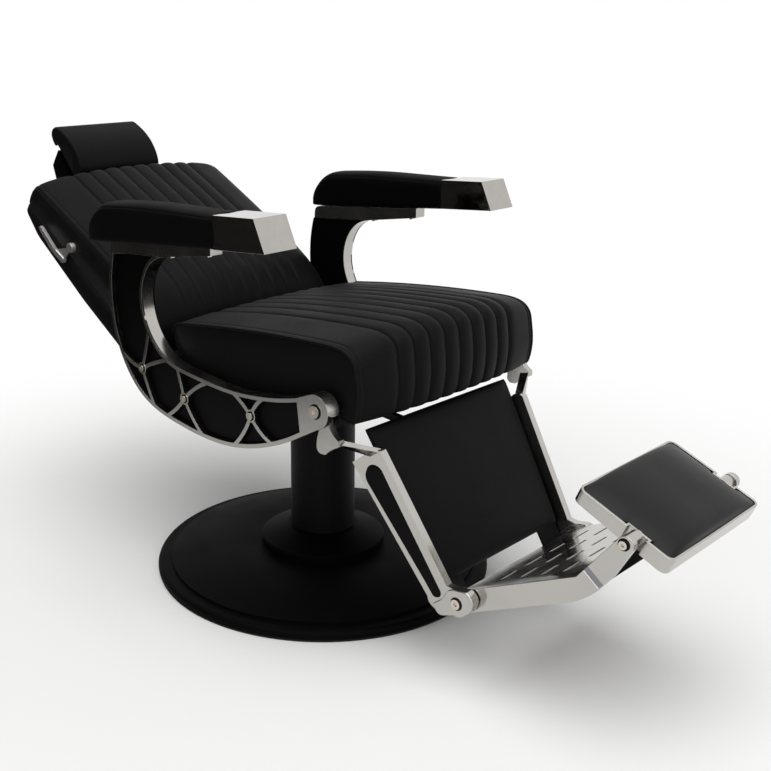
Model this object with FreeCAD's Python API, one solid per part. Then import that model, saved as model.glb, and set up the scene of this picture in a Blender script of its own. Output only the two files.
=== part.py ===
"""Reclining barber chair on a round hydraulic base.

Millimetres.  +X is the way the sitter faces, +Y the sitter's left, +Z up, and the
origin is the centre of the base on the floor.  The solids stand in the reclined
pose with the column down, and every joint is at zero there.
"""
import FreeCAD
import Part
import math
import os

V = FreeCAD.Vector

# Clearances
RUN_FIT = 0.05          # radial play of a pin or shaft in its bore
SLIDE_FIT = 0.08        # play on each side of the headrest post
ASSEMBLY_GAP = 0.2      # loose fit between fixed pieces
MOVING_GAP = 1.0        # side gap between faces that pass each other
SOFT_GAP = 0.3          # cushions to what carries them

# Base and column
BASE_RADIUS = 350.0
FLOOR_RING_HEIGHT = 5.0
FLOOR_RING_WIDTH = 28.0
FLOOR_RING_INSET = 2.0
BASE_LIP_HEIGHT = 9.0
BASE_RIM_HEIGHT = 22.0
BASE_RIM_WIDTH = 28.0
BASE_RIM_STEP = 5.0
BASE_SHOULDER = 8.4      # from the outer edge in to where the rim turns down
BASE_SHOULDER_FALL = 1.0
BASE_PLATEAU_RADIUS = 176.0
BASE_PLATEAU_HEIGHT = 48.0
BASE_WALL = 7.0
COVER_RADIUS = 129.5
COVER_RIM_HEIGHT = 18.0
COVER_GROOVE = 2.0
COVER_HEIGHT = 38.0
COVER_NECK = 74.0
COVER_SHEET = 6.0
PUMP_RADIUS = 50.0
PUMP_FLANGE_RADIUS = 84.0
PUMP_FLANGE_HEIGHT = 10.0
PUMP_FOOT = 14.0
PUMP_TOP = 310.0
PUMP_BOLT_RADIUS = 5.0
PUMP_BOLT_HEAD = 8.0
PUMP_BOLT_COVER = 3.0     # metal left above the blind bolt holes
PUMP_BOLT_CIRCLE = 68.0
PUMP_BOLT_COUNT = 4
RAM_RADIUS = 25.0
RAM_BOTTOM = 44.0
RAM_OIL_SPACE = 16.0
RAM_FLANGE_RADIUS = 60.0
RAM_FLANGE_HEIGHT = 10.0
SLEEVE_RADIUS = 67.0
SLEEVE_WALL = 4.0
SLEEVE_LIFT = 2.0       # sleeve above the base cover when the column is down
SLEEVE_CAP = 8.0
COLUMN_TOP = 330.0
BEARING_HEIGHT = 6.0
BEARING_RADIUS = 58.0
BEARING_BORE = 18.0
SPIGOT_RADIUS = 12.0
SPIGOT_LENGTH = 40.0

# Pump pedal, on a line from the column at this angle
PEDAL_AZIMUTH = 134.0
PEDAL_PIVOT_RADIUS = 152.0
PEDAL_PIVOT_HEIGHT = 70.0
PEDAL_PIN_RADIUS = 6.0
PEDAL_HUB_RADIUS = 11.0
PEDAL_HUB_WIDTH = 27.0
PEDAL_EAR = 8.0
PEDAL_EAR_RADIUS = 13.0
PEDAL_ARM_WIDTH = 20.0
PEDAL_ARM_HEIGHT = 10.0
PEDAL_REACH = 325.0
PEDAL_RISE = 15.0
PEDAL_PLATE = 6.0
PEDAL_PLATE_LENGTH = 52.0
PEDAL_PLATE_WIDTH = 84.0
PEDAL_PAD_HEIGHT = 7.0
PEDAL_PAD_INSET = 2.0

# Seat carrier
MOUNT_PLATE = 10.0
MOUNT_PLATE_LENGTH = 230.0
MOUNT_PLATE_WIDTH = 240.0
RAIL_SETBACK = 3.0        # rear of the carrier rails from the mount plate's edge
CARRIER_REAR = -112.0
CARRIER_FRONT = 215.0
CARRIER_TOP = 438.0
CARRIER_RAIL_Y = 100.0
CARRIER_RAIL = 8.0
CROSS_DEPTH = 20.0
CROSS_WIDTH = 28.0
BEAM_RIGHT = -45.0
BEAM_LEFT = 5.0
BEAM_DEPTH = 14.0
FRONT_CROSS_X = 140.0
CHEEK = 10.0            # side plate of the carrier, bolted to the side frame
CHEEK_HEIGHT = 38.0
SEAT_PAN = 12.0
SEAT_PAN_REAR = -135.0
SEAT_PAN_FRONT = 285.0
SEAT_PAN_HALF = 236.0

# Side frames: outer faces, casting, black liner on the inside
FRAME_OUT = 298.0
FRAME_CASTING = 28.0
FRAME_LINER = 3.0
FRAME_POCKET = 12.0
FRAME_INLAY = 4.0
FRAME_RIM = 8.0
FRAME_BAND = 7.0
RIB_WIDTH = 7.5
RIB_BOSS = 12.0
FRAME_BOLT_RADIUS = 5.0
FRAME_BOLT_HEAD = 7.0
FRAME_BOLT_HEAD_HEIGHT = 4.0
BOLT_SOCKET = 0.45        # hexagon's corner radius as a share of the head's
BOLT_SOCKET_DEPTH = 2.8
RECLINE_PIVOT = (-208.0, 448.0)
REAR_BOLT = (-79.0, 414.5)
FRONT_BOLT = (109.5, 426.0)
LEG_PIVOT = (273.0, 474.0)
LEG_BOSS_RADIUS = 30.0
LEG_EYE_RADIUS = 22.0
LEG_SWING = 40.0          # room for the hook before and behind the leg pivot
LEG_SWING_DROP = 75.0
LEG_SWING_REAR_TOP = 36.0
LEG_SWING_FRONT_TOP = 14.0
LEG_EYE = 14.0
LEG_PIN_RADIUS = 8.0
LEG_PIN_HEAD = 11.0
FRAME_TOP_REAR = (-291.0, 669.0)
FRAME_TOP_FRONT = (-125.0, 682.0)
FRAME_WINDOW_END = (240.0, 421.0)
FRAME_WINDOW_TOP = (227.0, 487.5)
# Rear and lower edge from the top down, and the inner C edge from the boss up
FRAME_OUTER_EDGE = [FRAME_TOP_REAR, (-303, 590), (-283, 482), (-213, 393), (-95, 357), (40, 351),
                    (173, 386), FRAME_WINDOW_END]
FRAME_INNER_EDGE = [FRAME_WINDOW_TOP, (136, 468.5), (40, 462.5), (-60, 470), (-133, 486),
                    (-178, 526), (-198, 592), (-180, 648), FRAME_TOP_FRONT]
# Each rib is an arc through three points; bolts join them in pairs
RIB_ARCS = [[(-180, 545), (-193, 491), RECLINE_PIVOT], [(-279, 474), (-242, 454), RECLINE_PIVOT],
            [RECLINE_PIVOT, (-173, 465), (-112, 485)], [RECLINE_PIVOT, (-187, 402), (-166, 366)],
            [(-103, 488), (-90, 449), REAR_BOLT], [REAR_BOLT, (-102, 390), (-144, 361)],
            [REAR_BOLT, (-46, 442), (5, 468)], [REAR_BOLT, (-60, 386), (-18, 346)],
            [(48, 466), (82, 448), FRONT_BOLT], [FRONT_BOLT, (95, 397), (52, 349)],
            [FRONT_BOLT, (125, 451), (156, 474)], [FRONT_BOLT, (128, 406), (177, 384)]]

# Arm rests
ARM_BOTTOM_AT_ZERO = 722.0
ARM_SLOPE = 0.09
ARM_SUPPORT_FRONT = 12.0
ARM_SUPPORT_DEPTH = 20.0
ARM_SUPPORT_REAR_ROUND = 14.0
ARM_PAD_REAR = -300.0
ARM_PAD_FRONT = 76.0
ARM_PAD_IN = 268.5
ARM_PAD_OUT = 347.0
ARM_PAD_TOP_FRONT = 790.0
ARM_PAD_TOP_MID = 785.0
ARM_PAD_SHOULDER = 768.0
ARM_PAD_MID_X = -60.0
ARM_PAD_MID_RISE = 2.5
ARM_PAD_EDGE = 13.0       # how far the pad's rounded long edges fall
ARM_PAD_REAR_RUN = 44.0   # shoulder from the rear end
ARM_PAD_REAR_CUT = 8.0
ARM_PAD_REAR_FALL = 27.0
ARM_PAD_REAR_LIFT = 16.0
ARM_BLOCK_OUT = 345.0
ARM_BLOCK_IN = 270.6
ARM_BLOCK_TOP = 795.0
ARM_BLOCK_STEP = 1.0      # block's rear face below the pad's top and above its underside
ARM_BLOCK_TOP_FRONT = 179.0
ARM_BLOCK_NOSE = (205.0, 739.5)
ARM_TONGUE = 4.0
ARM_TONGUE_REACH = 30.0   # over the support
ARM_TONGUE_WIDTH = 16.0
ARM_SCREW_X = (-117.0, -10.0)
ARM_SCREW_RADIUS = 3.0
ARM_SCREW_HEAD = 6.0
ARM_SCREW_LENGTH = 14.0

# Cushions: channels are sewn in the same grid on seat and back
CUSHION_HALF = 250.0
CUSHION_SIDE_BULGE = 5.0
CHANNEL_COUNT = 8
CHANNEL_WIDTH = 40.0
CHANNEL_DEPTH = 6.0
SEAT_CROWN = 26.0
SEAT_NOSE_BULGE = 22.0
SEAT_REAR_BOTTOM = -138.0
SEAT_REAR_TOP = -155.0
SEAT_REAR_HOLLOW = 10.0   # rear edge's middle forward of its ends
SEAT_FRONT = 322.0
SEAT_FRONT_BOTTOM = 448.0
SEAT_TOP_REAR = 545.0
SEAT_TOP_FRONT = 580.0
SEAT_CORNER = 42.0
SEAT_NOSE_UNDERCUT = 32.0
SEAT_NOSE_LEAN = 4.0
SEAT_NOSE_BOW = 9.0
SEAT_TOP_BOW_X = 70.0
SEAT_TOP_BOW = 6.0
SEAT_REAR_ROLL = (30.0, 24.0)
SEAT_REAR_ROLL_MID = (8.0, 6.0)
SEAT_SIDE_INSET = 14.0
BACK_CROWN = 22.0
BACK_SIDE_INSET = 9.0
BACK_SIDE_ROLL = 24.0     # front falls back this far from the border's middle to the sides
BACK_LUMBAR_ROLL = 1.6    # share of it that the lumbar falls
BACK_TOP_SET = 4.0
BACK_TOP_ROUND = 17.0
BACK_SHOULDER = (12.0, 1.0)
BACK_BOW = 5.0
BACK_LUMBAR = 122.0
BACK_TOE = (24.0, 18.0)
BACK_TOE_MID = (60.0, 62.0)

# Back rest, measured along it (up) and square to it (forward) from the recline pivot
BACK_SLOPE = 28.1
BACK_FACE = 88.0
BACK_TOP = 508.0
BACK_PLATE = 6.0
BACK_PLATE_FOOT = -12.0
BACK_PLATE_HEAD = 34.0
BACK_PLATE_TOP = BACK_TOP - 18.0
BACK_PLATE_HALF = 215.0
BACK_SHELL_HALF = 248.0
BACK_SHELL_TOP = BACK_TOP + 15.0
BACK_SHELL_TOP_REAR = 11.0
BACK_SHELL_BEVEL = (BACK_TOP - 46.0, -17.0)
BACK_SHELL_WAIST = (267.0, -45.0)
BACK_SHELL_FOOT = (15.0, -66.0)
BACK_SHELL_FOOT_ROUND = 14.0
BACK_SHELL_TOP_ROUND = 14.0
RECLINE_SHAFT_RADIUS = 12.0
RECLINE_TUBE_RADIUS = 18.0
RECLINE_TUBE_HALF = 244.0

# Recline linkage under the seat
CRANK_RADIUS = 43.3
CRANK_ANGLE = 23.0
CRANK_PIN_RADIUS = 5.0
CRANK_EYE = 11.0
CRANK_PLATE = 6.0
LINK_Y = -22.0
LINK_WIDTH = 12.0
LINK_HEIGHT = 14.0
LINK_END_RADIUS = 13.0
LINK_PLAY = 3.0         # play of the link eye on the leg rest pin
STRUT_Y = 20.0
STRUT_Z = 406.4
STRUT_RADIUS = 10.5
STRUT_ROD_RADIUS = 4.0
STRUT_REAR = -70.0
STRUT_FRONT = 92.0
STRUT_EYE_RADIUS = 15.0
STRUT_EYE = 12.0
STRUT_END_WALL = 10.0
STRUT_ROD_CLEAR = 40.0    # from the rod's end to the front of the cylinder
STRUT_PLAY = 2.5

# Head rest, in the same measures as the back
POST_CENTRE = 12.5
POST_THICK = 8.0
POST_HALF = 32.0
POST_BOTTOM = BACK_TOP - 146.0
POST_TOP = BACK_TOP + 132.0
GUIDE_WALL = 3.4
GUIDE_BOTTOM = BACK_TOP - 158.0
GUIDE_TOP = BACK_TOP
HOUSING_HALF = 108.0
HOUSING_CHEEK = 30.0
HOUSING_FOOT = BACK_TOP + 77.0
HOUSING_HEAD = HOUSING_FOOT + 72.0
HOUSING_REAR = 2.0
HOUSING_FRONT = 50.0
HOUSING_FOOT_FRONT = 32.0
HOUSING_BEVEL = (25.0, 26.0)
HOUSING_CHEEK_FRONT = 70.0
HOUSING_STEP = 40.0
HEAD_PIVOT = (BACK_TOP + 128.0, 66.0)
HEAD_PIN_RADIUS = 6.0
HEAD_EAR = 10.0
HEAD_EAR_Y = 60.0
HEAD_EAR_RADIUS = 9.5
HEAD_PLATE = 5.0
HEAD_HALF = 111.0
HEAD_BOTTOM = (BACK_TOP + 44.0, 62.0)
HEAD_PIN_END = 2.0
HEAD_HUB_RADIUS = 10.2
HEAD_PLATE_FOOT = (24.0, -6.0)
HEAD_PLATE_HEAD = (18.0, 18.0)
HEAD_PLATE_SKEW = 2.0
HEAD_THICK = 31.0
HEAD_TOP_ROUND = (20.0, 34.0)
HEAD_TOP_CREST = (34.0, 11.0)
HEAD_BOTTOM_ROUND = (10.0, 2.0)
HEAD_BOTTOM_CREST = (26.0, 12.0)
HEAD_SIDE_INSET = 4.0

# Recline lever on the right side of the back
LEVER_PIVOT = (338.0, 44.0)
LEVER_ELBOW = (388.0, 3.0)
LEVER_TIP = (446.0, 19.0)
LEVER_TAIL = (351.0, 3.0)
LEVER_PIN_RADIUS = 5.0
LEVER_BOSS = 10.0
LEVER_LUG = 8.0
LEVER_LUG_HALF = 13.0
LEVER_HUB = 10.0
LEVER_HUB_LENGTH = 11.0
LEVER_PIN_LENGTH = 8.0
LEVER_THICK = 8.0
LEVER_WIDTH = 12.0

# Leg rest: arms run down and forward from the front corner of their top
LEG_ARM_TOP = (345.0, 408.0)
LEG_ARM_SLOPE = 57.9
LEG_ARM_OUT = 218.0
LEG_ARM_TAPER = 0.09
LEG_ARM = 15.0
LEG_ARM_WIDTH_TOP = 74.0
LEG_ARM_WIDTH_END = 53.0
LEG_ARM_LENGTH = 268.0
# Outline of the hook below the leg pivot, and where its web starts, from the pivot
LEG_HOOK = [(-20.0, -6.0), ((-8.0, -22.0), (-4.0, -41.0)), ((-8.0, -54.0), (-9.0, -67.0)),
            ((-6.5, -75.0), (2.0, -79.0)), (12.0, -78.0), ((26.0, -66.0), (42.0, -57.0)), (42.0, -46.0),
            ((24.0, -31.0), (16.0, -8.0))]
LEG_WEB_START = [(18.0, -60.0), (40.0, -56.0), (40.0, -47.0), (20.0, -51.0)]
LEG_WEB_END = [(15.0, -26.0), (13.0, -2.0), (4.0, -3.0), (5.0, -26.0)]
LEG_WEB_SINK = 4.0
LEG_ARM_HEEL = (8.0, 18.0)
LEG_ARM_TOE = (30.0, 16.0)
LEG_ARM_END = 32.0
LEG_SLOT_TOP = 43.0
LEG_SLOT_HALF_TOP = 20.0
LEG_SLOT_HALF_END = 9.0
LEG_INLAY = 3.0
LEG_RECESS = 5.0
FOOT_HINGE_PAST = 27.857  # hinge from the arm's length on, and forward of its front edge
FOOT_HINGE_AHEAD = 6.825
FOOT_HINGE_RADIUS = 7.0
FOOT_HINGE_HEAD = 9.0
FOOT_KNUCKLE = 24.0
FOOT_KNUCKLE_PROUD = 2.0  # of the leg arm's outer face
LEG_TRIM = 60.0           # arms cut flush with the rails up to here above the hinge
CALF_TOP = -37.0
CALF_SHORT = 10.0         # calf pad ends this far before the arm's length
CALF_BOTTOM = LEG_ARM_LENGTH - CALF_SHORT
CALF_FACE = -16.0
CALF_THICK = 12.0
CALF_CROWN = 9.0
CALF_SIDE_GAP = 2.0
CALF_END_ROUND = 7.0
CALF_BOARD = 5.0
CALF_BOARD_TOP = 14.0
CALF_TAB_LENGTH = 40.0
CALF_TAB_WIDTH = 56.0
LEG_CRANK = (-9.0, -75.0)

# Foot plate: rails rise at this angle from the hinge
FOOT_RISE = 26.0
FOOT_RAIL = 12.0
FOOT_RAIL_TOP = 16.0
FOOT_RAIL_BOTTOM = -24.0
FOOT_BEND = 243.0
FOOT_TREAD = 6.0
FOOT_ARM_RISE = 52.6
FOOT_ARM_TOP = 12.0       # upper and lower edge of the raised arm from the flip pivot's line
FOOT_ARM_BOTTOM = -25.0
FOOT_ARM_CORNER = -56.0   # from here the lower edge closes in on the arm's end
FOOT_ARM_END = 16.0
FOOT_ARM_TIP = (15.0, -2.0)
FOOT_BEND_START = 34.0    # outer bend starts this far before FOOT_BEND
FOOT_BEND_MID = (-8.0, 2.5)
FOOT_BEND_END = 100.0     # and ends this far from the flip pivot
FOOT_HEEL_ROUND = (20.0, 4.0)
FOOT_TREAD_START = 4.0
FOOT_TREAD_TIP = [(-80.0, 2.0), (-76.0, 7.0)]
FOOT_TREAD_INNER = 10.0
FOOT_GROOVE = 1.5
FOOT_GROOVE_WIDTH = 12.0
FOOT_GROOVE_AT = 91.0     # from the flip pivot
TOE_SHEET = 5.0
TOE_HEAD = (-76.0, 0.0)   # front edges of the toe cover, along and above the flip pivot's line
TOE_FOOT = (-72.0, -24.0)
SLOT_LENGTH = 46.0
SLOT_WIDTH = 7.0
SLOT_ROWS = 4
SLOT_COLUMNS = 4
SLOT_PITCH_X = 44.0
SLOT_PITCH_Y = 74.0

# Flip pad, measured from the rear top edge of its tray, which lies this far from the foot hinge
FLIP_AHEAD = 187.0
FLIP_ABOVE = 255.0
FLIP_SLOPE = 22.6
FLIP_LENGTH = 180.0
FLIP_HALF = 147.0
FLIP_DEPTH = 24.0
FLIP_NOSE_DEPTH = 29.0
FLIP_WALL = 4.0
FLIP_FLOOR = 6.0
FLIP_CORNER = 14.0
FLIP_PIVOT = (113.6, -11.0)
FLIP_PIN_RADIUS = 5.0
FLIP_PIN_HEAD = 7.0
FLIP_BOSS = 12.0
FLIP_CROWN = 18.0
FLIP_END_ROUND = 7.0
FLIP_NOTCH = 7.0
FLIP_NOTCH_HALF = 18.0

# Worked out from the sizes above
FRAME_IN = FRAME_OUT - FRAME_CASTING
LINER_IN = FRAME_IN - FRAME_LINER
COVER_TOP = BASE_PLATEAU_HEIGHT + COVER_HEIGHT
SLEEVE_BOTTOM = COVER_TOP + SLEEVE_LIFT
BEARING_TOP = COLUMN_TOP + RAM_FLANGE_HEIGHT + BEARING_HEIGHT
MOUNT_BOTTOM = BEARING_TOP + SOFT_GAP
MOUNT_TOP = MOUNT_BOTTOM + MOUNT_PLATE
PAN_TOP = CARRIER_TOP + SEAT_PAN
FOOT_HINGE_OUT = LEG_ARM_OUT - LEG_ARM_TAPER * LEG_ARM_LENGTH + FOOT_KNUCKLE_PROUD
FOOT_RAIL_OUT = LEG_ARM_OUT - LEG_ARM_TAPER * (LEG_ARM_LENGTH + LEG_ARM_END) - LEG_ARM - MOVING_GAP
FOOT_RAIL_IN = FOOT_RAIL_OUT - FOOT_RAIL
POST_REAR = POST_CENTRE - POST_THICK / 2
POST_FRONT = POST_CENTRE + POST_THICK / 2
GUIDE_HALF = POST_HALF + SLIDE_FIT + GUIDE_WALL
GUIDE_REAR = POST_REAR - SLIDE_FIT - GUIDE_WALL
GUIDE_FACE = POST_FRONT + SLIDE_FIT + GUIDE_WALL
PEDAL_PIVOT = (PEDAL_PIVOT_RADIUS, PEDAL_PIVOT_HEIGHT)
PEDAL_EAR_IN = PEDAL_HUB_WIDTH / 2 + MOVING_GAP / 2
PEDAL_EAR_OUT = PEDAL_EAR_IN + PEDAL_EAR


def at_y(y):
    """Points (x, z) on the plane at this y."""
    return lambda x, z: V(x, y, z)


def path(at, start, *steps):
    """Closed wire from start; a step is a point, or a pair (middle, end) for an arc."""
    edges = []
    here = start
    for step in list(steps) + [start]:
        if isinstance(step[0], tuple):
            middle, end = step
            edges.append(Part.Arc(at(*here), at(*middle), at(*end)).toShape())
        else:
            end = step
            if math.dist(here, end) > 1e-6:
                edges.append(Part.LineSegment(at(*here), at(*end)).toShape())
        here = end
    return Part.Wire(edges)


def prism(outline, along):
    """Solid swept straight from a closed wire."""
    return Part.Face(outline).extrude(along)


def plate(y0, y1, start, *steps):
    """Flat plate of an (x, z) outline between two y planes."""
    return prism(path(at_y(y0), start, *steps), V(0, y1 - y0, 0))


def rod_y(centre, radius, y0, y1):
    """Round bar along Y at (x, z)."""
    return Part.makeCylinder(radius, y1 - y0, V(centre[0], y0, centre[1]), V(0, 1, 0))


def rod_z(radius, z0, z1, x=0.0, y=0.0):
    """Round bar along Z."""
    return Part.makeCylinder(radius, z1 - z0, V(x, y, z0))


def box(x0, x1, y0, y1, z0, z1):
    """Block between two corners."""
    return Part.makeBox(x1 - x0, y1 - y0, z1 - z0, V(x0, y0, z0))


def turned(start, *steps):
    """Solid of revolution about Z from a closed (radius, z) outline."""
    return Part.Face(path(at_y(0.0), start, *steps)).revolve(V(0, 0, 0), V(0, 0, 1), 360)


def fused(first, *others):
    """One solid from pieces that overlap or touch."""
    return first.fuse(list(others)).removeSplitter()


def mirrored(shape):
    """The left-hand twin of a right-hand piece."""
    return shape.mirror(V(0, 0, 0), V(0, 1, 0))


def both_sides(shape):
    """A right-hand piece and its twin as separate solids of one group."""
    return Part.makeCompound([shape, mirrored(shape)])


def local(origin, degrees):
    """Measures (along, square) from an (x, z) origin, for a line at this slope.

    Along points up the line at the given angle from +X; square is 90 degrees on from it.
    """
    c, s = math.cos(math.radians(degrees)), math.sin(math.radians(degrees))
    return lambda along, square: (origin[0] + along * c - square * s, origin[1] + along * s + square * c)


def loft(sections):
    """Ruled solid through matching closed wires."""
    solid = Part.makeLoft(sections, True, True)
    if solid.Volume < 0:
        solid.reverse()
    return solid


def back_point(along, forward):
    """(x, z) of a point measured on the back rest from the recline pivot."""
    return local(RECLINE_PIVOT, 180.0 - BACK_SLOPE)(along, -forward)


def leg_point(along, forward):
    """(x, z) of a point measured down the leg rest from its top front corner."""
    return local(LEG_ARM_TOP, -LEG_ARM_SLOPE)(along, forward)


FOOT_HINGE = leg_point(LEG_ARM_LENGTH + FOOT_HINGE_PAST, FOOT_HINGE_AHEAD)
FLIP_REAR = (FOOT_HINGE[0] + FLIP_AHEAD, FOOT_HINGE[1] + FLIP_ABOVE)


def foot_point(along, above):
    """(x, z) of a point measured along the foot plate from its hinge."""
    return local(FOOT_HINGE, FOOT_RISE)(along, above)


def flip_point(along, above):
    """(x, z) of a point measured from the rear top edge of the flip tray."""
    return local(FLIP_REAR, -FLIP_SLOPE)(along, above)


def spread(point_map, points):
    """Outline steps carried into (x, z) by a local measure, arcs included."""
    return [tuple(point_map(*p) for p in step) if isinstance(step[0], tuple) else point_map(*step)
            for step in points]


# Base

def floor_ring():
    outer = BASE_RADIUS - FLOOR_RING_INSET
    return turned((outer - FLOOR_RING_WIDTH, 0), (outer, 0), (outer, FLOOR_RING_HEIGHT),
                  (outer - FLOOR_RING_WIDTH, FLOOR_RING_HEIGHT))


def base_plate():
    inner = PUMP_RADIUS + ASSEMBLY_GAP
    under = BASE_PLATEAU_HEIGHT - BASE_WALL
    rim = BASE_RADIUS - BASE_RIM_WIDTH
    dome_edge = BASE_RIM_HEIGHT + BASE_RIM_STEP
    reach, fall = rim - BASE_PLATEAU_RADIUS, BASE_PLATEAU_HEIGHT - dome_edge
    dome_radius = (reach ** 2 + fall ** 2) / (2 * fall)
    dome_drop = dome_radius - math.sqrt(dome_radius ** 2 - reach ** 2 / 4)
    middle = (BASE_PLATEAU_RADIUS + reach / 2, BASE_PLATEAU_HEIGHT - dome_drop)
    floor = FLOOR_RING_HEIGHT
    shoulder = (BASE_RADIUS - BASE_SHOULDER, BASE_RIM_HEIGHT - BASE_SHOULDER_FALL)
    rim_middle = (BASE_RADIUS - 0.3 * BASE_SHOULDER, 0.7 * BASE_RIM_HEIGHT + 0.3 * BASE_LIP_HEIGHT)
    disc = turned((inner, under), (inner, BASE_PLATEAU_HEIGHT), (BASE_PLATEAU_RADIUS, BASE_PLATEAU_HEIGHT),
                  (middle, (rim, dome_edge)), (rim, BASE_RIM_HEIGHT), shoulder,
                  (rim_middle, (BASE_RADIUS, BASE_LIP_HEIGHT)), (BASE_RADIUS, floor),
                  (rim - BASE_WALL, floor), (rim - 2 * BASE_WALL, dome_edge - BASE_WALL),
                  (BASE_PLATEAU_RADIUS, under))
    for x, y in bolt_circle():
        hole_top = BASE_PLATEAU_HEIGHT - PUMP_BOLT_COVER
        disc = disc.cut(rod_z(PUMP_BOLT_RADIUS + RUN_FIT, under - 1, hole_top, x, y))
    return disc


def bolt_circle():
    turns = [2 * math.pi * (i + 0.5) / PUMP_BOLT_COUNT for i in range(PUMP_BOLT_COUNT)]
    return [(PUMP_BOLT_CIRCLE * math.cos(t), PUMP_BOLT_CIRCLE * math.sin(t)) for t in turns]


def base_cover():
    bottom = BASE_PLATEAU_HEIGHT
    inner = PUMP_RADIUS + 2 * MOVING_GAP
    groove = bottom + COVER_RIM_HEIGHT / 3
    rim = bottom + COVER_RIM_HEIGHT
    cut = COVER_RADIUS - COVER_GROOVE
    groove_top = groove + COVER_GROOVE
    return turned((COVER_RADIUS, bottom), (COVER_RADIUS, groove), (cut, groove), (cut, groove_top),
                  (COVER_RADIUS, groove_top), (COVER_RADIUS, rim - COVER_GROOVE), (cut, rim),
                  (COVER_NECK, COVER_TOP), (inner, COVER_TOP),
                  (inner, COVER_TOP - COVER_SHEET), (COVER_NECK, COVER_TOP - COVER_SHEET),
                  (COVER_RADIUS - COVER_SHEET, rim - COVER_SHEET), (COVER_RADIUS - COVER_SHEET, bottom))


def pump_cylinder():
    flange_top = BASE_PLATEAU_HEIGHT - BASE_WALL
    flange_bottom = flange_top - PUMP_FLANGE_HEIGHT
    bore = RAM_RADIUS + RUN_FIT
    bore_floor = RAM_BOTTOM - RAM_OIL_SPACE
    body = turned((0, PUMP_FOOT), (PUMP_RADIUS, PUMP_FOOT), (PUMP_RADIUS, flange_bottom),
                  (PUMP_FLANGE_RADIUS, flange_bottom), (PUMP_FLANGE_RADIUS, flange_top),
                  (PUMP_RADIUS, flange_top), (PUMP_RADIUS, PUMP_TOP), (bore, PUMP_TOP),
                  (bore, bore_floor), (0, bore_floor))
    for x, y in bolt_circle():
        body = body.cut(rod_z(PUMP_BOLT_RADIUS + RUN_FIT, flange_bottom - 1, flange_top + 1, x, y))
    return body


def pump_bolts():
    flange_bottom = BASE_PLATEAU_HEIGHT - BASE_WALL - PUMP_FLANGE_HEIGHT
    end = BASE_PLATEAU_HEIGHT - PUMP_BOLT_COVER - MOVING_GAP
    bolts = [fused(rod_z(PUMP_BOLT_HEAD, flange_bottom - PUMP_BOLT_RADIUS, flange_bottom, x, y),
                   rod_z(PUMP_BOLT_RADIUS, flange_bottom - 1, end, x, y))
             for x, y in bolt_circle()]
    return Part.makeCompound(bolts)


def hydraulic_ram():
    flange_top = COLUMN_TOP + RAM_FLANGE_HEIGHT
    socket = SPIGOT_RADIUS + RUN_FIT
    socket_bottom = flange_top - SPIGOT_LENGTH
    return turned((0, RAM_BOTTOM), (RAM_RADIUS, RAM_BOTTOM), (RAM_RADIUS, COLUMN_TOP),
                  (RAM_FLANGE_RADIUS, COLUMN_TOP), (RAM_FLANGE_RADIUS, flange_top), (socket, flange_top),
                  (socket, socket_bottom), (0, socket_bottom))


def column_sleeve():
    inner = SLEEVE_RADIUS - SLEEVE_WALL
    hole = RAM_RADIUS + ASSEMBLY_GAP
    cap = COLUMN_TOP - SLEEVE_CAP
    return turned((inner, SLEEVE_BOTTOM), (SLEEVE_RADIUS, SLEEVE_BOTTOM), (SLEEVE_RADIUS, COLUMN_TOP),
                  (hole, COLUMN_TOP), (hole, cap), (inner, cap))


def swivel_bearing():
    bottom = COLUMN_TOP + RAM_FLANGE_HEIGHT
    return turned((BEARING_BORE, bottom), (BEARING_RADIUS, bottom), (BEARING_RADIUS, BEARING_TOP),
                  (BEARING_BORE, BEARING_TOP))


# Pump pedal, built along +X and turned to its place

def about_column(shape):
    return shape.rotate(V(0, 0, 0), V(0, 0, 1), PEDAL_AZIMUTH)


def pedal_bracket():
    half = PEDAL_EAR_RADIUS
    foot_top = BASE_PLATEAU_HEIGHT + PEDAL_PLATE
    foot = box(PEDAL_PIVOT_RADIUS - half, PEDAL_PIVOT_RADIUS + half, -PEDAL_EAR_OUT, PEDAL_EAR_OUT,
               BASE_PLATEAU_HEIGHT, foot_top)
    ears = []
    for y0 in (-PEDAL_EAR_OUT, PEDAL_EAR_IN):
        web = box(PEDAL_PIVOT_RADIUS - half, PEDAL_PIVOT_RADIUS + half, y0, y0 + PEDAL_EAR,
                  foot_top, PEDAL_PIVOT_HEIGHT)
        ears += [web, rod_y(PEDAL_PIVOT, half, y0, y0 + PEDAL_EAR)]
    bore = rod_y(PEDAL_PIVOT, PEDAL_PIN_RADIUS + RUN_FIT, -PEDAL_EAR_OUT - 1, PEDAL_EAR_OUT + 1)
    return about_column(fused(foot, *ears).cut(bore))


def pedal_pin():
    return about_column(rod_y(PEDAL_PIVOT, PEDAL_PIN_RADIUS, -PEDAL_EAR_OUT, PEDAL_EAR_OUT))


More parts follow.
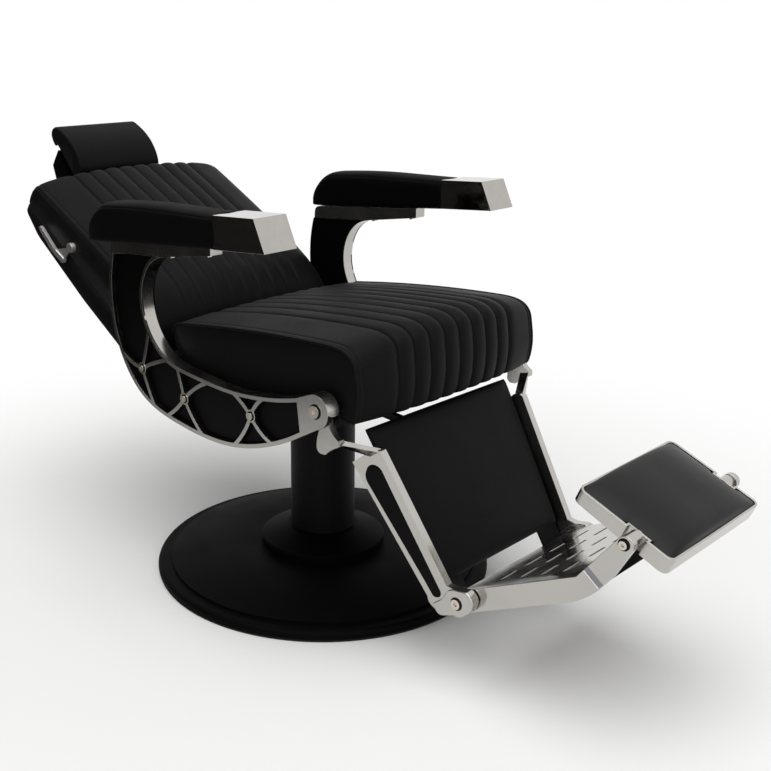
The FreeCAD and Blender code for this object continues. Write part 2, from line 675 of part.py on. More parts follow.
def pump_pedal():
    hub = rod_y(PEDAL_PIVOT, PEDAL_HUB_RADIUS, -PEDAL_HUB_WIDTH / 2, PEDAL_HUB_WIDTH / 2)
    plate_rear = PEDAL_REACH - PEDAL_PLATE_LENGTH
    arm_end = plate_rear + PEDAL_PLATE_LENGTH / 2
    low = PEDAL_PIVOT_HEIGHT - PEDAL_ARM_HEIGHT / 2
    high = low + PEDAL_RISE
    arm = plate(-PEDAL_ARM_WIDTH / 2, PEDAL_ARM_WIDTH / 2, (PEDAL_PIVOT_RADIUS, low), (plate_rear, high),
                (arm_end, high), (arm_end, high + PEDAL_ARM_HEIGHT), (plate_rear, high + PEDAL_ARM_HEIGHT),
                (PEDAL_PIVOT_RADIUS, low + PEDAL_ARM_HEIGHT))
    tread = box(plate_rear, PEDAL_REACH, -PEDAL_PLATE_WIDTH / 2, PEDAL_PLATE_WIDTH / 2,
                high + PEDAL_ARM_HEIGHT - PEDAL_PLATE, high + PEDAL_ARM_HEIGHT)
    bore = rod_y(PEDAL_PIVOT, PEDAL_PIN_RADIUS + RUN_FIT, -PEDAL_HUB_WIDTH, PEDAL_HUB_WIDTH)
    return about_column(fused(hub, arm, tread).cut(bore))


def pedal_pad():
    bottom = PEDAL_PIVOT_HEIGHT + PEDAL_ARM_HEIGHT / 2 + PEDAL_RISE
    rear, half = PEDAL_REACH - PEDAL_PLATE_LENGTH + PEDAL_PAD_INSET, PEDAL_PLATE_WIDTH / 2 - PEDAL_PAD_INSET
    pad = box(rear, PEDAL_REACH - PEDAL_PAD_INSET, -half, half, bottom, bottom + PEDAL_PAD_HEIGHT)
    return about_column(pad)


# Seat carrier

def seat_mount():
    half_x = MOUNT_PLATE_LENGTH / 2
    half_y = MOUNT_PLATE_WIDTH / 2
    slab = box(-half_x, half_x, -half_y, half_y, MOUNT_BOTTOM, MOUNT_TOP)
    spigot_end = COLUMN_TOP + RAM_FLANGE_HEIGHT - SPIGOT_LENGTH + MOVING_GAP
    return fused(slab, rod_z(SPIGOT_RADIUS, spigot_end, MOUNT_BOTTOM + 1))


def seat_carrier():
    cross_bottom = CARRIER_TOP - CROSS_DEPTH
    cheek_in = LINER_IN - CHEEK
    pieces = []
    for side in (-1, 1):
        rail_y = side * CARRIER_RAIL_Y
        rear, front = RAIL_SETBACK - MOUNT_PLATE_LENGTH / 2, MOUNT_PLATE_LENGTH / 2
        pieces.append(plate(rail_y - CARRIER_RAIL / 2, rail_y + CARRIER_RAIL / 2, (rear, MOUNT_TOP),
                            (front, MOUNT_TOP), (CARRIER_FRONT, cross_bottom), (CARRIER_FRONT, CARRIER_TOP),
                            (rear, CARRIER_TOP)))
        pieces.append(plate(side * cheek_in, side * LINER_IN, (CARRIER_REAR, CARRIER_TOP - CHEEK_HEIGHT),
                            (CARRIER_FRONT, CARRIER_TOP - CHEEK_HEIGHT / 2), (CARRIER_FRONT, CARRIER_TOP),
                            (CARRIER_REAR, CARRIER_TOP)))
    for x in (CARRIER_REAR, FRONT_CROSS_X):
        pieces.append(box(x, x + CROSS_WIDTH, -cheek_in - 1, cheek_in + 1, cross_bottom, CARRIER_TOP))
    lug = box(STRUT_FRONT, STRUT_FRONT + CHEEK, STRUT_Y - STRUT_RADIUS, STRUT_Y + STRUT_RADIUS,
              STRUT_Z - STRUT_RADIUS, CARRIER_TOP)
    tie = box(STRUT_FRONT, FRONT_CROSS_X + 1, STRUT_Y - STRUT_RADIUS, STRUT_Y + STRUT_RADIUS,
              cross_bottom, CARRIER_TOP)
    beam = box(FRONT_CROSS_X + CROSS_WIDTH - 1, SEAT_PAN_FRONT, BEAM_RIGHT, BEAM_LEFT,
               CARRIER_TOP - BEAM_DEPTH, CARRIER_TOP)
    body = fused(pieces[0], *pieces[1:], lug, tie, beam)
    for bolt in (REAR_BOLT, FRONT_BOLT):
        for y in (-LINER_IN, cheek_in):
            body = body.cut(rod_y(bolt, FRAME_BOLT_RADIUS + RUN_FIT, y - 1, y + CHEEK + 1))
    return body


def seat_pan():
    return box(SEAT_PAN_REAR, SEAT_PAN_FRONT, -SEAT_PAN_HALF, SEAT_PAN_HALF, CARRIER_TOP, PAN_TOP)


def strut_cylinder():
    length = STRUT_FRONT - STRUT_REAR
    return strut_bar(STRUT_RADIUS, STRUT_REAR, length).cut(
        strut_bar(STRUT_ROD_RADIUS + RUN_FIT, STRUT_REAR, length - STRUT_END_WALL))


def strut_bar(radius, x, length):
    """Round bar on the axis of the gas strut."""
    return Part.makeCylinder(radius, length, V(x, STRUT_Y, STRUT_Z), V(1, 0, 0))


# Side frames

def smooth(points, shift=0.0):
    """Spline through (x, z) points, moved sideways to its left by shift."""
    curve = Part.BSplineCurve()
    curve.interpolate([V(x, 0, z) for x, z in points])
    if shift == 0.0:
        return curve
    moved = []
    for x, z in points:
        t = curve.tangent(curve.parameter(V(x, 0, z)))[0]
        moved.append(V(x - shift * t.z, 0, z + shift * t.x))
    inset = Part.BSplineCurve()
    inset.interpolate(moved)
    return inset


def joined_outline(edges, y):
    """Closed wire of edges and of straight runs between their ends, moved to y."""
    runs = []
    for i, edge in enumerate(edges):
        nxt = edges[(i + 1) % len(edges)]
        runs.append(edge.toShape())
        if edge.EndPoint.distanceToPoint(nxt.StartPoint) > 1e-6:
            runs.append(Part.LineSegment(edge.EndPoint, nxt.StartPoint).toShape())
    wire = Part.Wire(runs)
    wire.translate(V(0, y, 0))
    return wire


def frame_outline(y):
    px, pz = LEG_PIVOT
    nose = Part.Arc(V(*tangent_point(FRAME_WINDOW_END, -1)), V(px + LEG_BOSS_RADIUS, 0, pz),
                    V(*tangent_point(FRAME_WINDOW_TOP, 1)))
    return joined_outline([smooth(FRAME_OUTER_EDGE), nose, smooth(FRAME_INNER_EDGE)], y)


def tangent_point(start, side):
    """Where the line from a point of the frame's edge touches the round leg boss."""
    dx, dz = start[0] - LEG_PIVOT[0], start[1] - LEG_PIVOT[1]
    turn = math.atan2(dz, dx) - side * math.acos(LEG_BOSS_RADIUS / math.hypot(dx, dz))
    return (LEG_PIVOT[0] + LEG_BOSS_RADIUS * math.cos(turn), 0,
            LEG_PIVOT[1] + LEG_BOSS_RADIUS * math.sin(turn))


def window_outline(y):
    return joined_outline([smooth(FRAME_OUTER_EDGE, FRAME_RIM), smooth(FRAME_INNER_EDGE, FRAME_BAND)], y)


def rib(points, y0, y1):
    """Curved bar of RIB_WIDTH along the arc through three points."""
    a, b, c = [V(x, 0, z) for x, z in points]
    circle = Part.Arc(a, b, c).toShape().Curve
    centre = circle.Center
    sides = []
    for offset in (-RIB_WIDTH / 2, RIB_WIDTH / 2):
        scale = (circle.Radius + offset) / circle.Radius
        sides.append([centre + (p - centre) * scale for p in (a, b, c)])
    inner, outer = sides
    edges = [Part.Arc(*inner), Part.LineSegment(inner[2], outer[2]), Part.Arc(outer[2], outer[1], outer[0]),
             Part.LineSegment(outer[0], inner[0])]
    wire = Part.Wire([e.toShape() for e in edges])
    wire.translate(V(0, y0, 0))
    return prism(wire, V(0, y1 - y0, 0))


def side_frame():
    body = prism(frame_outline(-FRAME_OUT), V(0, FRAME_CASTING, 0))
    pocket = prism(window_outline(-FRAME_OUT - 1), V(0, FRAME_POCKET + 1, 0))
    rib_depth = FRAME_POCKET - FRAME_INLAY
    ribs = [rib(points, -FRAME_OUT, -FRAME_OUT + rib_depth) for points in RIB_ARCS]
    ribs += [rod_y(bolt, RIB_BOSS, -FRAME_OUT, -FRAME_OUT + rib_depth)
             for bolt in (RECLINE_PIVOT, REAR_BOLT, FRONT_BOLT)]
    lattice = fused(ribs[0], *ribs[1:]).common(pocket)
    body = fused(body.cut(pocket), lattice)
    eye_floor = -FRAME_IN - LEG_EYE - 2 * MOVING_GAP
    px, pz = LEG_PIVOT
    room = LEG_EYE_RADIUS + MOVING_GAP
    rear, front, low = px - LEG_SWING, px + LEG_SWING, pz - LEG_SWING_DROP
    swing = plate(eye_floor, -FRAME_IN + 1, (rear, low), (rear, pz - LEG_SWING_REAR_TOP), (px - room, pz),
                  (px + room, pz), (front, pz - LEG_SWING_FRONT_TOP), (front, low))
    body = body.cut([rod_y(LEG_PIVOT, room, eye_floor, -FRAME_IN + 1), swing])
    holes = [rod_y(LEG_PIVOT, LEG_PIN_RADIUS + RUN_FIT, -FRAME_OUT - 1, -FRAME_IN + 1),
             rod_y(RECLINE_PIVOT, RECLINE_SHAFT_RADIUS + RUN_FIT, -FRAME_OUT + FRAME_POCKET, -FRAME_IN + 1),
             rod_y(RECLINE_PIVOT, FRAME_BOLT_RADIUS + RUN_FIT, -FRAME_OUT - 1, -FRAME_IN + 1)]
    holes += [rod_y(bolt, FRAME_BOLT_RADIUS + RUN_FIT, -FRAME_OUT - 1, -FRAME_IN + 1)
              for bolt in (REAR_BOLT, FRONT_BOLT)]
    return body.cut(holes)


def side_inlay():
    y1 = -FRAME_OUT + FRAME_POCKET
    panel = prism(window_outline(y1 - FRAME_INLAY), V(0, FRAME_INLAY, 0))
    panel = panel.common(prism(frame_outline(y1 - FRAME_INLAY - 1), V(0, FRAME_INLAY + 2, 0)))
    holes = [rod_y(bolt, FRAME_BOLT_RADIUS + ASSEMBLY_GAP, y1 - FRAME_INLAY - 1, y1 + 1)
             for bolt in (RECLINE_PIVOT, REAR_BOLT, FRONT_BOLT)]
    return panel.cut(holes)


def side_liner():
    panel = prism(frame_outline(-FRAME_IN), V(0, FRAME_LINER, 0))
    holes = [rod_y(RECLINE_PIVOT, RECLINE_SHAFT_RADIUS + ASSEMBLY_GAP, -FRAME_IN - 1, -LINER_IN + 1)]
    holes += [rod_y(bolt, FRAME_BOLT_RADIUS + ASSEMBLY_GAP, -FRAME_IN - 1, -LINER_IN + 1)
              for bolt in (REAR_BOLT, FRONT_BOLT)]
    return panel.cut(holes)


def headed_bolt(centre, head, radius, face, inner_end):
    """Socket bolt along Y on the right: head on the face at this y, shank in to inner_end."""
    top = face - FRAME_BOLT_HEAD_HEIGHT
    shank = rod_y(centre, radius, face - 1, inner_end)
    cap = rod_y(centre, head, top, face)
    r, y = BOLT_SOCKET * head, top - 1
    turns = [i * math.pi / 3 for i in range(7)]
    x, z = centre
    socket = Part.makePolygon([V(x + r * math.cos(t), y, z + r * math.sin(t)) for t in turns])
    recess = prism(Part.Wire(socket), V(0, BOLT_SOCKET_DEPTH + 1, 0))
    return fused(shank, cap).cut(recess)


def frame_bolts():
    short_end = -FRAME_OUT + FRAME_POCKET
    bolts = [headed_bolt(RECLINE_PIVOT, FRAME_BOLT_HEAD, FRAME_BOLT_RADIUS, -FRAME_OUT, short_end)]
    bolts += [headed_bolt(b, FRAME_BOLT_HEAD, FRAME_BOLT_RADIUS, -FRAME_OUT, -LINER_IN + CHEEK)
              for b in (REAR_BOLT, FRONT_BOLT)]
    return Part.makeCompound(bolts + [mirrored(b) for b in bolts])


def leg_pivot_bolts():
    return both_sides(headed_bolt(LEG_PIVOT, LEG_PIN_HEAD, LEG_PIN_RADIUS, -FRAME_OUT, -FRAME_IN))


def recline_shaft():
    end = FRAME_OUT - FRAME_POCKET
    return rod_y(RECLINE_PIVOT, RECLINE_SHAFT_RADIUS, -end, end)


# Arm rests

def arm_bottom(x):
    """Height of the arm pad's underside."""
    return ARM_BOTTOM_AT_ZERO + ARM_SLOPE * x


def arm_screw_axis():
    """Unit (x, z) pointing up, square to the underside of the arm support."""
    dx = ARM_SUPPORT_FRONT - FRAME_TOP_FRONT[0]
    dz = arm_bottom(ARM_SUPPORT_FRONT) - ARM_SUPPORT_DEPTH - FRAME_TOP_FRONT[1]
    return -dz / math.hypot(dx, dz), dx / math.hypot(dx, dz)


def arm_screw_foot(x):
    """(x, z) on the underside of the arm support."""
    ux, uz = arm_screw_axis()
    return x, FRAME_TOP_FRONT[1] - (x - FRAME_TOP_FRONT[0]) * ux / uz


def along_screw(x, radius, start, end):
    """Round bar on a screw's axis between two distances from the underside."""
    ux, uz = arm_screw_axis()
    fx, fz = arm_screw_foot(x)
    mid_y = -(FRAME_OUT + FRAME_IN) / 2
    return Part.makeCylinder(radius, end - start, V(fx + ux * start, mid_y, fz + uz * start), V(ux, 0, uz))


def arm_support():
    front = ARM_SUPPORT_FRONT
    rear, round_off = FRAME_TOP_REAR[0] + 1.0, ARM_SUPPORT_REAR_ROUND
    rear_top = (rear + round_off, arm_bottom(rear + round_off))
    rear_middle = (rear + 0.2 * round_off, arm_bottom(rear) - 0.36 * round_off)
    body = plate(-FRAME_OUT, -FRAME_IN, FRAME_TOP_REAR, FRAME_TOP_FRONT,
                 (front, arm_bottom(front) - ARM_SUPPORT_DEPTH), (front, arm_bottom(front)), rear_top,
                 (rear_middle, (rear, arm_bottom(rear) - round_off)))
    return body.cut([along_screw(x, ARM_SCREW_RADIUS + RUN_FIT, -1, ARM_SCREW_LENGTH) for x in ARM_SCREW_X])


def arm_screws():
    screws = [fused(along_screw(x, ARM_SCREW_HEAD, -ARM_SCREW_RADIUS, 0),
                    along_screw(x, ARM_SCREW_RADIUS, -1, ARM_SCREW_LENGTH)) for x in ARM_SCREW_X]
    return Part.makeCompound(screws + [mirrored(s) for s in screws])


def arm_pad():
    middle = (ARM_PAD_IN + ARM_PAD_OUT) / 2
    half = (ARM_PAD_OUT - ARM_PAD_IN) / 2

    def section(y):
        inset = ARM_PAD_EDGE * abs((y + middle) / half) ** 4
        rear, front = ARM_PAD_REAR + inset, ARM_PAD_FRONT
        under = rear + ARM_PAD_REAR_CUT
        shoulder = (rear + ARM_PAD_REAR_RUN, ARM_PAD_SHOULDER - inset)
        return path(at_y(y), (under, arm_bottom(under) + SOFT_GAP), (front, arm_bottom(front) + SOFT_GAP),
                    (front, ARM_PAD_TOP_FRONT - inset),
                    ((ARM_PAD_MID_X, ARM_PAD_TOP_MID - inset + ARM_PAD_MID_RISE), shoulder),
                    ((under, ARM_PAD_SHOULDER - ARM_PAD_REAR_FALL - inset),
                     (rear, arm_bottom(rear) + ARM_PAD_REAR_LIFT)))
    pad = loft([section(-middle + half * k) for k in (-1, -0.85, -0.6, 0, 0.6, 0.85, 1)])
    return pad.cut(arm_tongue(SOFT_GAP))


def arm_tongue(gap):
    """Strip on the support and under the pad that holds the block, larger by a gap above and beside."""
    middle = -(FRAME_OUT + FRAME_IN) / 2
    half = ARM_TONGUE_WIDTH / 2 + gap
    start, end = ARM_SUPPORT_FRONT - ARM_TONGUE_REACH - gap, ARM_PAD_FRONT + SOFT_GAP
    thick = ARM_TONGUE + gap
    return plate(middle - half, middle + half, (start, arm_bottom(start)), (end, arm_bottom(end)),
                 (end, arm_bottom(end) + thick), (start, arm_bottom(start) + thick))


def arm_block():
    rear = ARM_PAD_FRONT + SOFT_GAP
    rear_bottom = arm_bottom(rear) + ARM_BLOCK_STEP
    body = plate(-ARM_BLOCK_OUT, -ARM_BLOCK_IN, (rear, rear_bottom), ARM_BLOCK_NOSE,
                 (ARM_BLOCK_TOP_FRONT, ARM_BLOCK_TOP), (rear, ARM_PAD_TOP_FRONT - ARM_BLOCK_STEP))
    return fused(body, arm_tongue(0.0))


# Cushions with sewn channels

def channel_stations():
    """(y, crown share, dip) of the sections across a channelled cushion, right to left."""
    field = CHANNEL_COUNT * CHANNEL_WIDTH / 2
    border = (field + CUSHION_HALF) / 2
    stations = [(-CUSHION_HALF, 0.0), (-border, 0.0)]
    for i in range(CHANNEL_COUNT):
        start = -field + i * CHANNEL_WIDTH
        stations += [(start, 1.0), (start + 0.2 * CHANNEL_WIDTH, 0.28), (start + 0.5 * CHANNEL_WIDTH, 0.0),
                     (start + 0.8 * CHANNEL_WIDTH, 0.28)]
    stations += [(field, 1.0), (border, 0.0), (CUSHION_HALF, 0.0)]
    return [(y, 1.0 - abs(y / CUSHION_HALF) ** 2.4, CHANNEL_DEPTH * dip) for y, dip in stations]


def seat_section(y, crown, dip, inset=0.0):
    rise = SEAT_CROWN * crown - dip - inset
    bulge = SEAT_NOSE_BULGE * crown - dip - inset
    bottom = PAN_TOP + SOFT_GAP + inset
    nose = SEAT_FRONT + bulge
    top = SEAT_TOP_FRONT + rise
    corner = (nose - 0.24 * SEAT_CORNER, top - 0.24 * SEAT_CORNER)
    rear_bottom = SEAT_REAR_BOTTOM + inset
    rear_top = SEAT_REAR_TOP + SEAT_REAR_HOLLOW * crown + inset
    rear_z = SEAT_TOP_REAR + 0.6 * rise
    nose_mid = (nose + SEAT_NOSE_BOW, (SEAT_FRONT_BOTTOM + top - SEAT_CORNER) / 2)
    top_mid = (SEAT_TOP_BOW_X, (top + rear_z) / 2 + SEAT_TOP_BOW)
    roll_mid = (rear_top + SEAT_REAR_ROLL_MID[0], rear_z - SEAT_REAR_ROLL_MID[1])
    return path(at_y(y), (rear_bottom, bottom), (SEAT_FRONT - SEAT_NOSE_UNDERCUT, bottom),
                (nose, SEAT_FRONT_BOTTOM + inset), (nose_mid, (nose + SEAT_NOSE_LEAN, top - SEAT_CORNER)),
                (corner, (nose - 1.3 * SEAT_CORNER, top)),
                (top_mid, (rear_top + SEAT_REAR_ROLL[0], rear_z)),
                (roll_mid, (rear_top, rear_z - SEAT_REAR_ROLL[1])))


def seat_cushion():
    edge = CUSHION_HALF + CUSHION_SIDE_BULGE
    sections = [seat_section(-edge, 0.0, 0.0, SEAT_SIDE_INSET)]
    sections += [seat_section(*station) for station in channel_stations()]
    sections.append(seat_section(edge, 0.0, 0.0, SEAT_SIDE_INSET))
    return loft(sections)


def back_plate_face(along):
    """Distance forward of the front face of the back's steel plate."""
    return BACK_PLATE_FOOT + (BACK_PLATE_HEAD - BACK_PLATE_FOOT) * along / BACK_TOP


def back_roll(y):
    """How far the front falls back at y: a quarter ellipse from the middle of the border to the side."""
    start = (CHANNEL_COUNT * CHANNEL_WIDTH / 2 + CUSHION_HALF) / 2
    share = max(0.0, (abs(y) - start) / (CUSHION_HALF + CUSHION_SIDE_BULGE - start))
    return BACK_SIDE_ROLL * (1.0 - math.sqrt(1.0 - share ** 2))


def back_section(y, crown, dip, inset=0.0):
    swell = BACK_CROWN * crown - dip - inset
    roll = back_roll(y)
    foot = (1.4 * RECLINE_TUBE_RADIUS, back_plate_face(1.4 * RECLINE_TUBE_RADIUS) + SOFT_GAP + inset)
    top = BACK_TOP - BACK_TOP_SET + 0.3 * swell - 0.4 * inset
    head = (top, back_plate_face(top) + SOFT_GAP + inset)
    shoulder = (top - BACK_SHOULDER[0], BACK_FACE + BACK_SHOULDER[1] + swell - roll)
    crest = (top + BACK_TOP_ROUND, (head[1] + shoulder[1]) / 2)
    bow = (0.5 * BACK_TOP, BACK_FACE + BACK_BOW + swell - roll)
    lumbar = (BACK_LUMBAR, BACK_FACE + 0.8 * swell - BACK_LUMBAR_ROLL * roll)
    toe_mid = (BACK_TOE_MID[0], BACK_TOE_MID[1] + 0.6 * swell - roll)
    steps = spread(back_point, [foot, head, (crest, shoulder), (bow, lumbar), (toe_mid, BACK_TOE)])
    return path(at_y(y), back_point(*BACK_TOE), *steps)


def back_stations():
    """Stations of the channels, with one more half way down the roll of each border."""
    stations = channel_stations()
    (y0, crown0, _), (y1, crown1, _) = stations[:2]
    half_way = ((y0 + y1) / 2, (crown0 + crown1) / 2, 0.0)
    return stations[:1] + [half_way] + stations[1:-1] + [(-half_way[0], half_way[1], 0.0)] + stations[-1:]


def back_cushion():
    edge = CUSHION_HALF + CUSHION_SIDE_BULGE
    sections = [back_section(-edge, 0.0, 0.0, BACK_SIDE_INSET)]
    sections += [back_section(*station) for station in back_stations()]
    sections.append(back_section(edge, 0.0, 0.0, BACK_SIDE_INSET))
    return loft(sections).cut(lever_boss(SOFT_GAP))


# Back rest frame and shell

def back_block(along0, along1, forward0, forward1, half):
    """Block set square to the back rest, centred across it."""
    corners = [back_point(along0, forward0), back_point(along1, forward0), back_point(along1, forward1),
               back_point(along0, forward1)]
    return plate(-half, half, *corners)


def crank_pin_place():
    """(x, z) of the pin below the recline tube that drives the link and the strut."""
    turn = math.radians(CRANK_ANGLE)
    x, z = RECLINE_PIVOT
    return x + CRANK_RADIUS * math.sin(turn), z - CRANK_RADIUS * math.cos(turn)


def strap(first, second, radius0, radius1, y0, y1):
    """Flat bar with round ends about two (x, z) centres."""
    dx, dz = second[0] - first[0], second[1] - first[1]
    length = math.hypot(dx, dz)
    nx, nz = -dz / length, dx / length
    web = plate(y0, y1, (first[0] + nx * radius0, first[1] + nz * radius0),
                (second[0] + nx * radius1, second[1] + nz * radius1),
                (second[0] - nx * radius1, second[1] - nz * radius1),
                (first[0] - nx * radius0, first[1] - nz * radius0))
    return fused(web, rod_y(first, radius0, y0, y1), rod_y(second, radius1, y0, y1))


def back_frame():
    low, high = 0.5 * RECLINE_TUBE_RADIUS, BACK_PLATE_TOP
    low_face, high_face = back_plate_face(low), back_plate_face(high)
    sheet = plate(-BACK_PLATE_HALF, BACK_PLATE_HALF, back_point(low, low_face), back_point(high, high_face),
                  back_point(high, high_face - BACK_PLATE), back_point(low, low_face - BACK_PLATE))
    tube = rod_y(RECLINE_PIVOT, RECLINE_TUBE_RADIUS, -RECLINE_TUBE_HALF, RECLINE_TUBE_HALF)
    link_outer = LINK_Y - LINK_WIDTH / 2 - MOVING_GAP
    strut_outer = STRUT_Y + STRUT_EYE / 2 + MOVING_GAP
    pin_place = crank_pin_place()
    cranks = [strap(RECLINE_PIVOT, pin_place, RECLINE_TUBE_RADIUS, CRANK_EYE, y, y + CRANK_PLATE)
              for y in (link_outer - CRANK_PLATE, strut_outer)]
    pin = rod_y(pin_place, CRANK_PIN_RADIUS, link_outer - CRANK_PLATE, strut_outer + CRANK_PLATE)
    body = fused(sheet, tube, pin, *cranks)
    bore_half = RECLINE_TUBE_HALF + 1
    bore = rod_y(RECLINE_PIVOT, RECLINE_SHAFT_RADIUS + RUN_FIT, -bore_half, bore_half)
    notch = back_block(GUIDE_BOTTOM, 2 * BACK_PLATE_TOP, GUIDE_REAR, 2 * GUIDE_FACE, GUIDE_HALF)
    return body.cut([bore, notch])


def back_shell():
    low = RECLINE_TUBE_RADIUS + 3 * MOVING_GAP
    top = BACK_SHELL_TOP - BACK_SHELL_TOP_ROUND
    steps = spread(back_point, [(top, back_plate_face(top) - BACK_PLATE),
                                ((BACK_SHELL_TOP - 0.286 * BACK_SHELL_TOP_ROUND, 0.75 * BACK_PLATE_HEAD),
                                 (BACK_SHELL_TOP, BACK_SHELL_TOP_REAR)),
                                BACK_SHELL_BEVEL, BACK_SHELL_WAIST, BACK_SHELL_FOOT,
                                (low, BACK_SHELL_FOOT[1] + BACK_SHELL_FOOT_ROUND)])
    outline = path(at_y(-BACK_SHELL_HALF), back_point(low, back_plate_face(low) - BACK_PLATE), *steps)
    body = prism(outline, V(0, 2 * BACK_SHELL_HALF, 0))
    room = back_block(GUIDE_BOTTOM, 2 * BACK_SHELL_TOP, GUIDE_REAR, GUIDE_FACE, GUIDE_HALF)
    return body.cut(room)


def headrest_guide():
    outer = back_block(GUIDE_BOTTOM, GUIDE_TOP, GUIDE_REAR, GUIDE_FACE, GUIDE_HALF)
    inner = back_block(GUIDE_BOTTOM - 1, GUIDE_TOP + 1, GUIDE_REAR + GUIDE_WALL, GUIDE_FACE - GUIDE_WALL,
                       POST_HALF + SLIDE_FIT)
    return outer.cut(inner)


# Head rest

def headrest_post():
    return back_block(POST_BOTTOM, POST_TOP, POST_REAR, POST_FRONT, POST_HALF)


def headrest_housing():
    foot, head, front = HOUSING_FOOT, HOUSING_HEAD, HOUSING_FRONT
    step = head - HOUSING_STEP
    profile = [(foot, HOUSING_REAR), (head - HOUSING_BEVEL[0], HOUSING_REAR), (head, HOUSING_BEVEL[1]),
               (head - 3, front), (step, front), (foot, HOUSING_FOOT_FRONT)]
    body = plate(-HOUSING_HALF, HOUSING_HALF, *spread(back_point, profile))
    cheek = [(step, front - 2), (head - 3, front - 2), (head - 6, HOUSING_CHEEK_FRONT),
             (head - 15, HOUSING_CHEEK_FRONT)]
    along, forward = HEAD_PIVOT
    low, high = along - HEAD_EAR_RADIUS, along + HEAD_EAR_RADIUS
    ear = [(low, front), (high, front), (high, forward), (low, forward)]
    pivot = back_point(along, forward)
    parts = []
    for side in (-1, 1):
        inner = side * (HOUSING_HALF - HOUSING_CHEEK)
        parts.append(plate(inner, side * HOUSING_HALF, *spread(back_point, cheek)))
        y0 = side * HEAD_EAR_Y - HEAD_EAR / 2
        parts.append(plate(y0, y0 + HEAD_EAR, *spread(back_point, ear)))
        parts.append(rod_y(pivot, HEAD_EAR_RADIUS, y0, y0 + HEAD_EAR))
    slot = back_block(foot - 1, POST_TOP, POST_REAR, POST_FRONT, POST_HALF)
    bore = rod_y(pivot, HEAD_PIN_RADIUS + RUN_FIT, -HOUSING_HALF, HOUSING_HALF)
    return fused(body, *parts).cut([slot, bore])


def headrest_hinge():
    pivot = back_point(*HEAD_PIVOT)
    inner = HEAD_EAR_Y - HEAD_EAR / 2 - MOVING_GAP
    pin_end = HEAD_EAR_Y + HEAD_EAR / 2 + HEAD_PIN_END
    pin = rod_y(pivot, HEAD_PIN_RADIUS, -pin_end, pin_end)
    tube = rod_y(pivot, HEAD_HUB_RADIUS, -inner, inner)
    (a0, f0), (a1, f1) = head_plate_line()
    outline = [(a0, f0), (a1, f1), (a1 + HEAD_PLATE_SKEW, f1 - HEAD_PLATE),
               (a0 + HEAD_PLATE_SKEW, f0 - HEAD_PLATE)]
    web = plate(-inner, inner, *spread(back_point, outline))
    return fused(tube, web, pin)


def head_plate_line():
    """Two points (along, forward) on the rear face of the head pad."""
    foot = (HEAD_BOTTOM[0] + HEAD_PLATE_FOOT[0], HEAD_BOTTOM[1] + HEAD_PLATE_FOOT[1])
    return foot, (HEAD_PIVOT[0] + HEAD_PLATE_HEAD[0], HEAD_PIVOT[1] + HEAD_PLATE_HEAD[1])


def headrest_pad():
    (a0, f0), (a1, f1) = head_plate_line()

    def section(y):
        inset = HEAD_SIDE_INSET * abs(y / HEAD_HALF) ** 6
        crest = (a1 + HEAD_TOP_CREST[0] - inset, f1 + HEAD_TOP_CREST[1])
        top = (a1 + HEAD_TOP_ROUND[0] - inset, f1 + HEAD_TOP_ROUND[1] - inset)
        face_mid = (a1 - 50, f1 + HEAD_THICK - inset)
        bottom = (a0 - 20, f0 + HEAD_THICK - inset)
        foot_mid = (a0 - HEAD_BOTTOM_CREST[0] + inset, f0 + HEAD_BOTTOM_CREST[1])
        foot = (a0 - HEAD_BOTTOM_ROUND[0] + inset, f0 - HEAD_BOTTOM_ROUND[1] + SOFT_GAP)
        head = (a1, f1 + SOFT_GAP)
        steps = spread(back_point, [head, (crest, top), (face_mid, bottom), (foot_mid, foot)])
        return path(at_y(y), back_point(a0, f0 + SOFT_GAP), *steps)
    return loft([section(HEAD_HALF * k) for k in (-1, -0.93, -0.75, 0, 0.75, 0.93, 1)])


# Recline lever

def lever_boss_end():
    """y of the boss's outer face, just proud of the cushion's side."""
    return -CUSHION_HALF - CUSHION_SIDE_BULGE - MOVING_GAP


def lever_boss(play=0.0):
    """Lug on the back's plate with the lever's boss and pin; play widens it for its pocket."""
    centre = back_point(*LEVER_PIVOT)
    lug_y = -BACK_PLATE_HALF - play
    along, forward = LEVER_PIVOT
    half = LEVER_LUG_HALF + play
    root = [back_plate_face(along - half) - play, back_plate_face(along + half) - play]
    lug = plate(lug_y, -BACK_PLATE_HALF + LEVER_LUG + play, back_point(along - half, root[0]),
                back_point(along + half, root[1]), back_point(along + half, forward),
                back_point(along - half, forward))
    dome = rod_y(centre, half, lug_y, -BACK_PLATE_HALF + LEVER_LUG + play)
    boss = rod_y(centre, LEVER_BOSS + play, lever_boss_end() - play, lug_y + 1)
    pin = rod_y(centre, LEVER_PIN_RADIUS, lever_boss_end() - LEVER_PIN_LENGTH, lever_boss_end() + 1)
    return fused(lug, dome, boss, pin)


def recline_lever():
    y1 = lever_boss_end() - MOVING_GAP / 2
    y0 = y1 - LEVER_HUB_LENGTH
    centre, elbow, tip, tail = [back_point(*p) for p in (LEVER_PIVOT, LEVER_ELBOW, LEVER_TIP, LEVER_TAIL)]
    half = LEVER_WIDTH / 2
    grip = strap(elbow, tip, half, 0.8 * half, y0, y0 + LEVER_THICK)
    foot = strap(elbow, tail, half, half, y0, y0 + LEVER_THICK)
    web = plate(y0 + 2, y0 + LEVER_THICK, centre, elbow, tail)
    hub = rod_y(centre, LEVER_HUB, y0, y1)
    bore_end = lever_boss_end() - LEVER_PIN_LENGTH - MOVING_GAP
    bore = rod_y(centre, LEVER_PIN_RADIUS + RUN_FIT, bore_end, y1 + 1)
    return fused(hub, grip, foot, web).cut(bore)


# Recline linkage

def leg_crank_place():
    return leg_point(*LEG_CRANK)


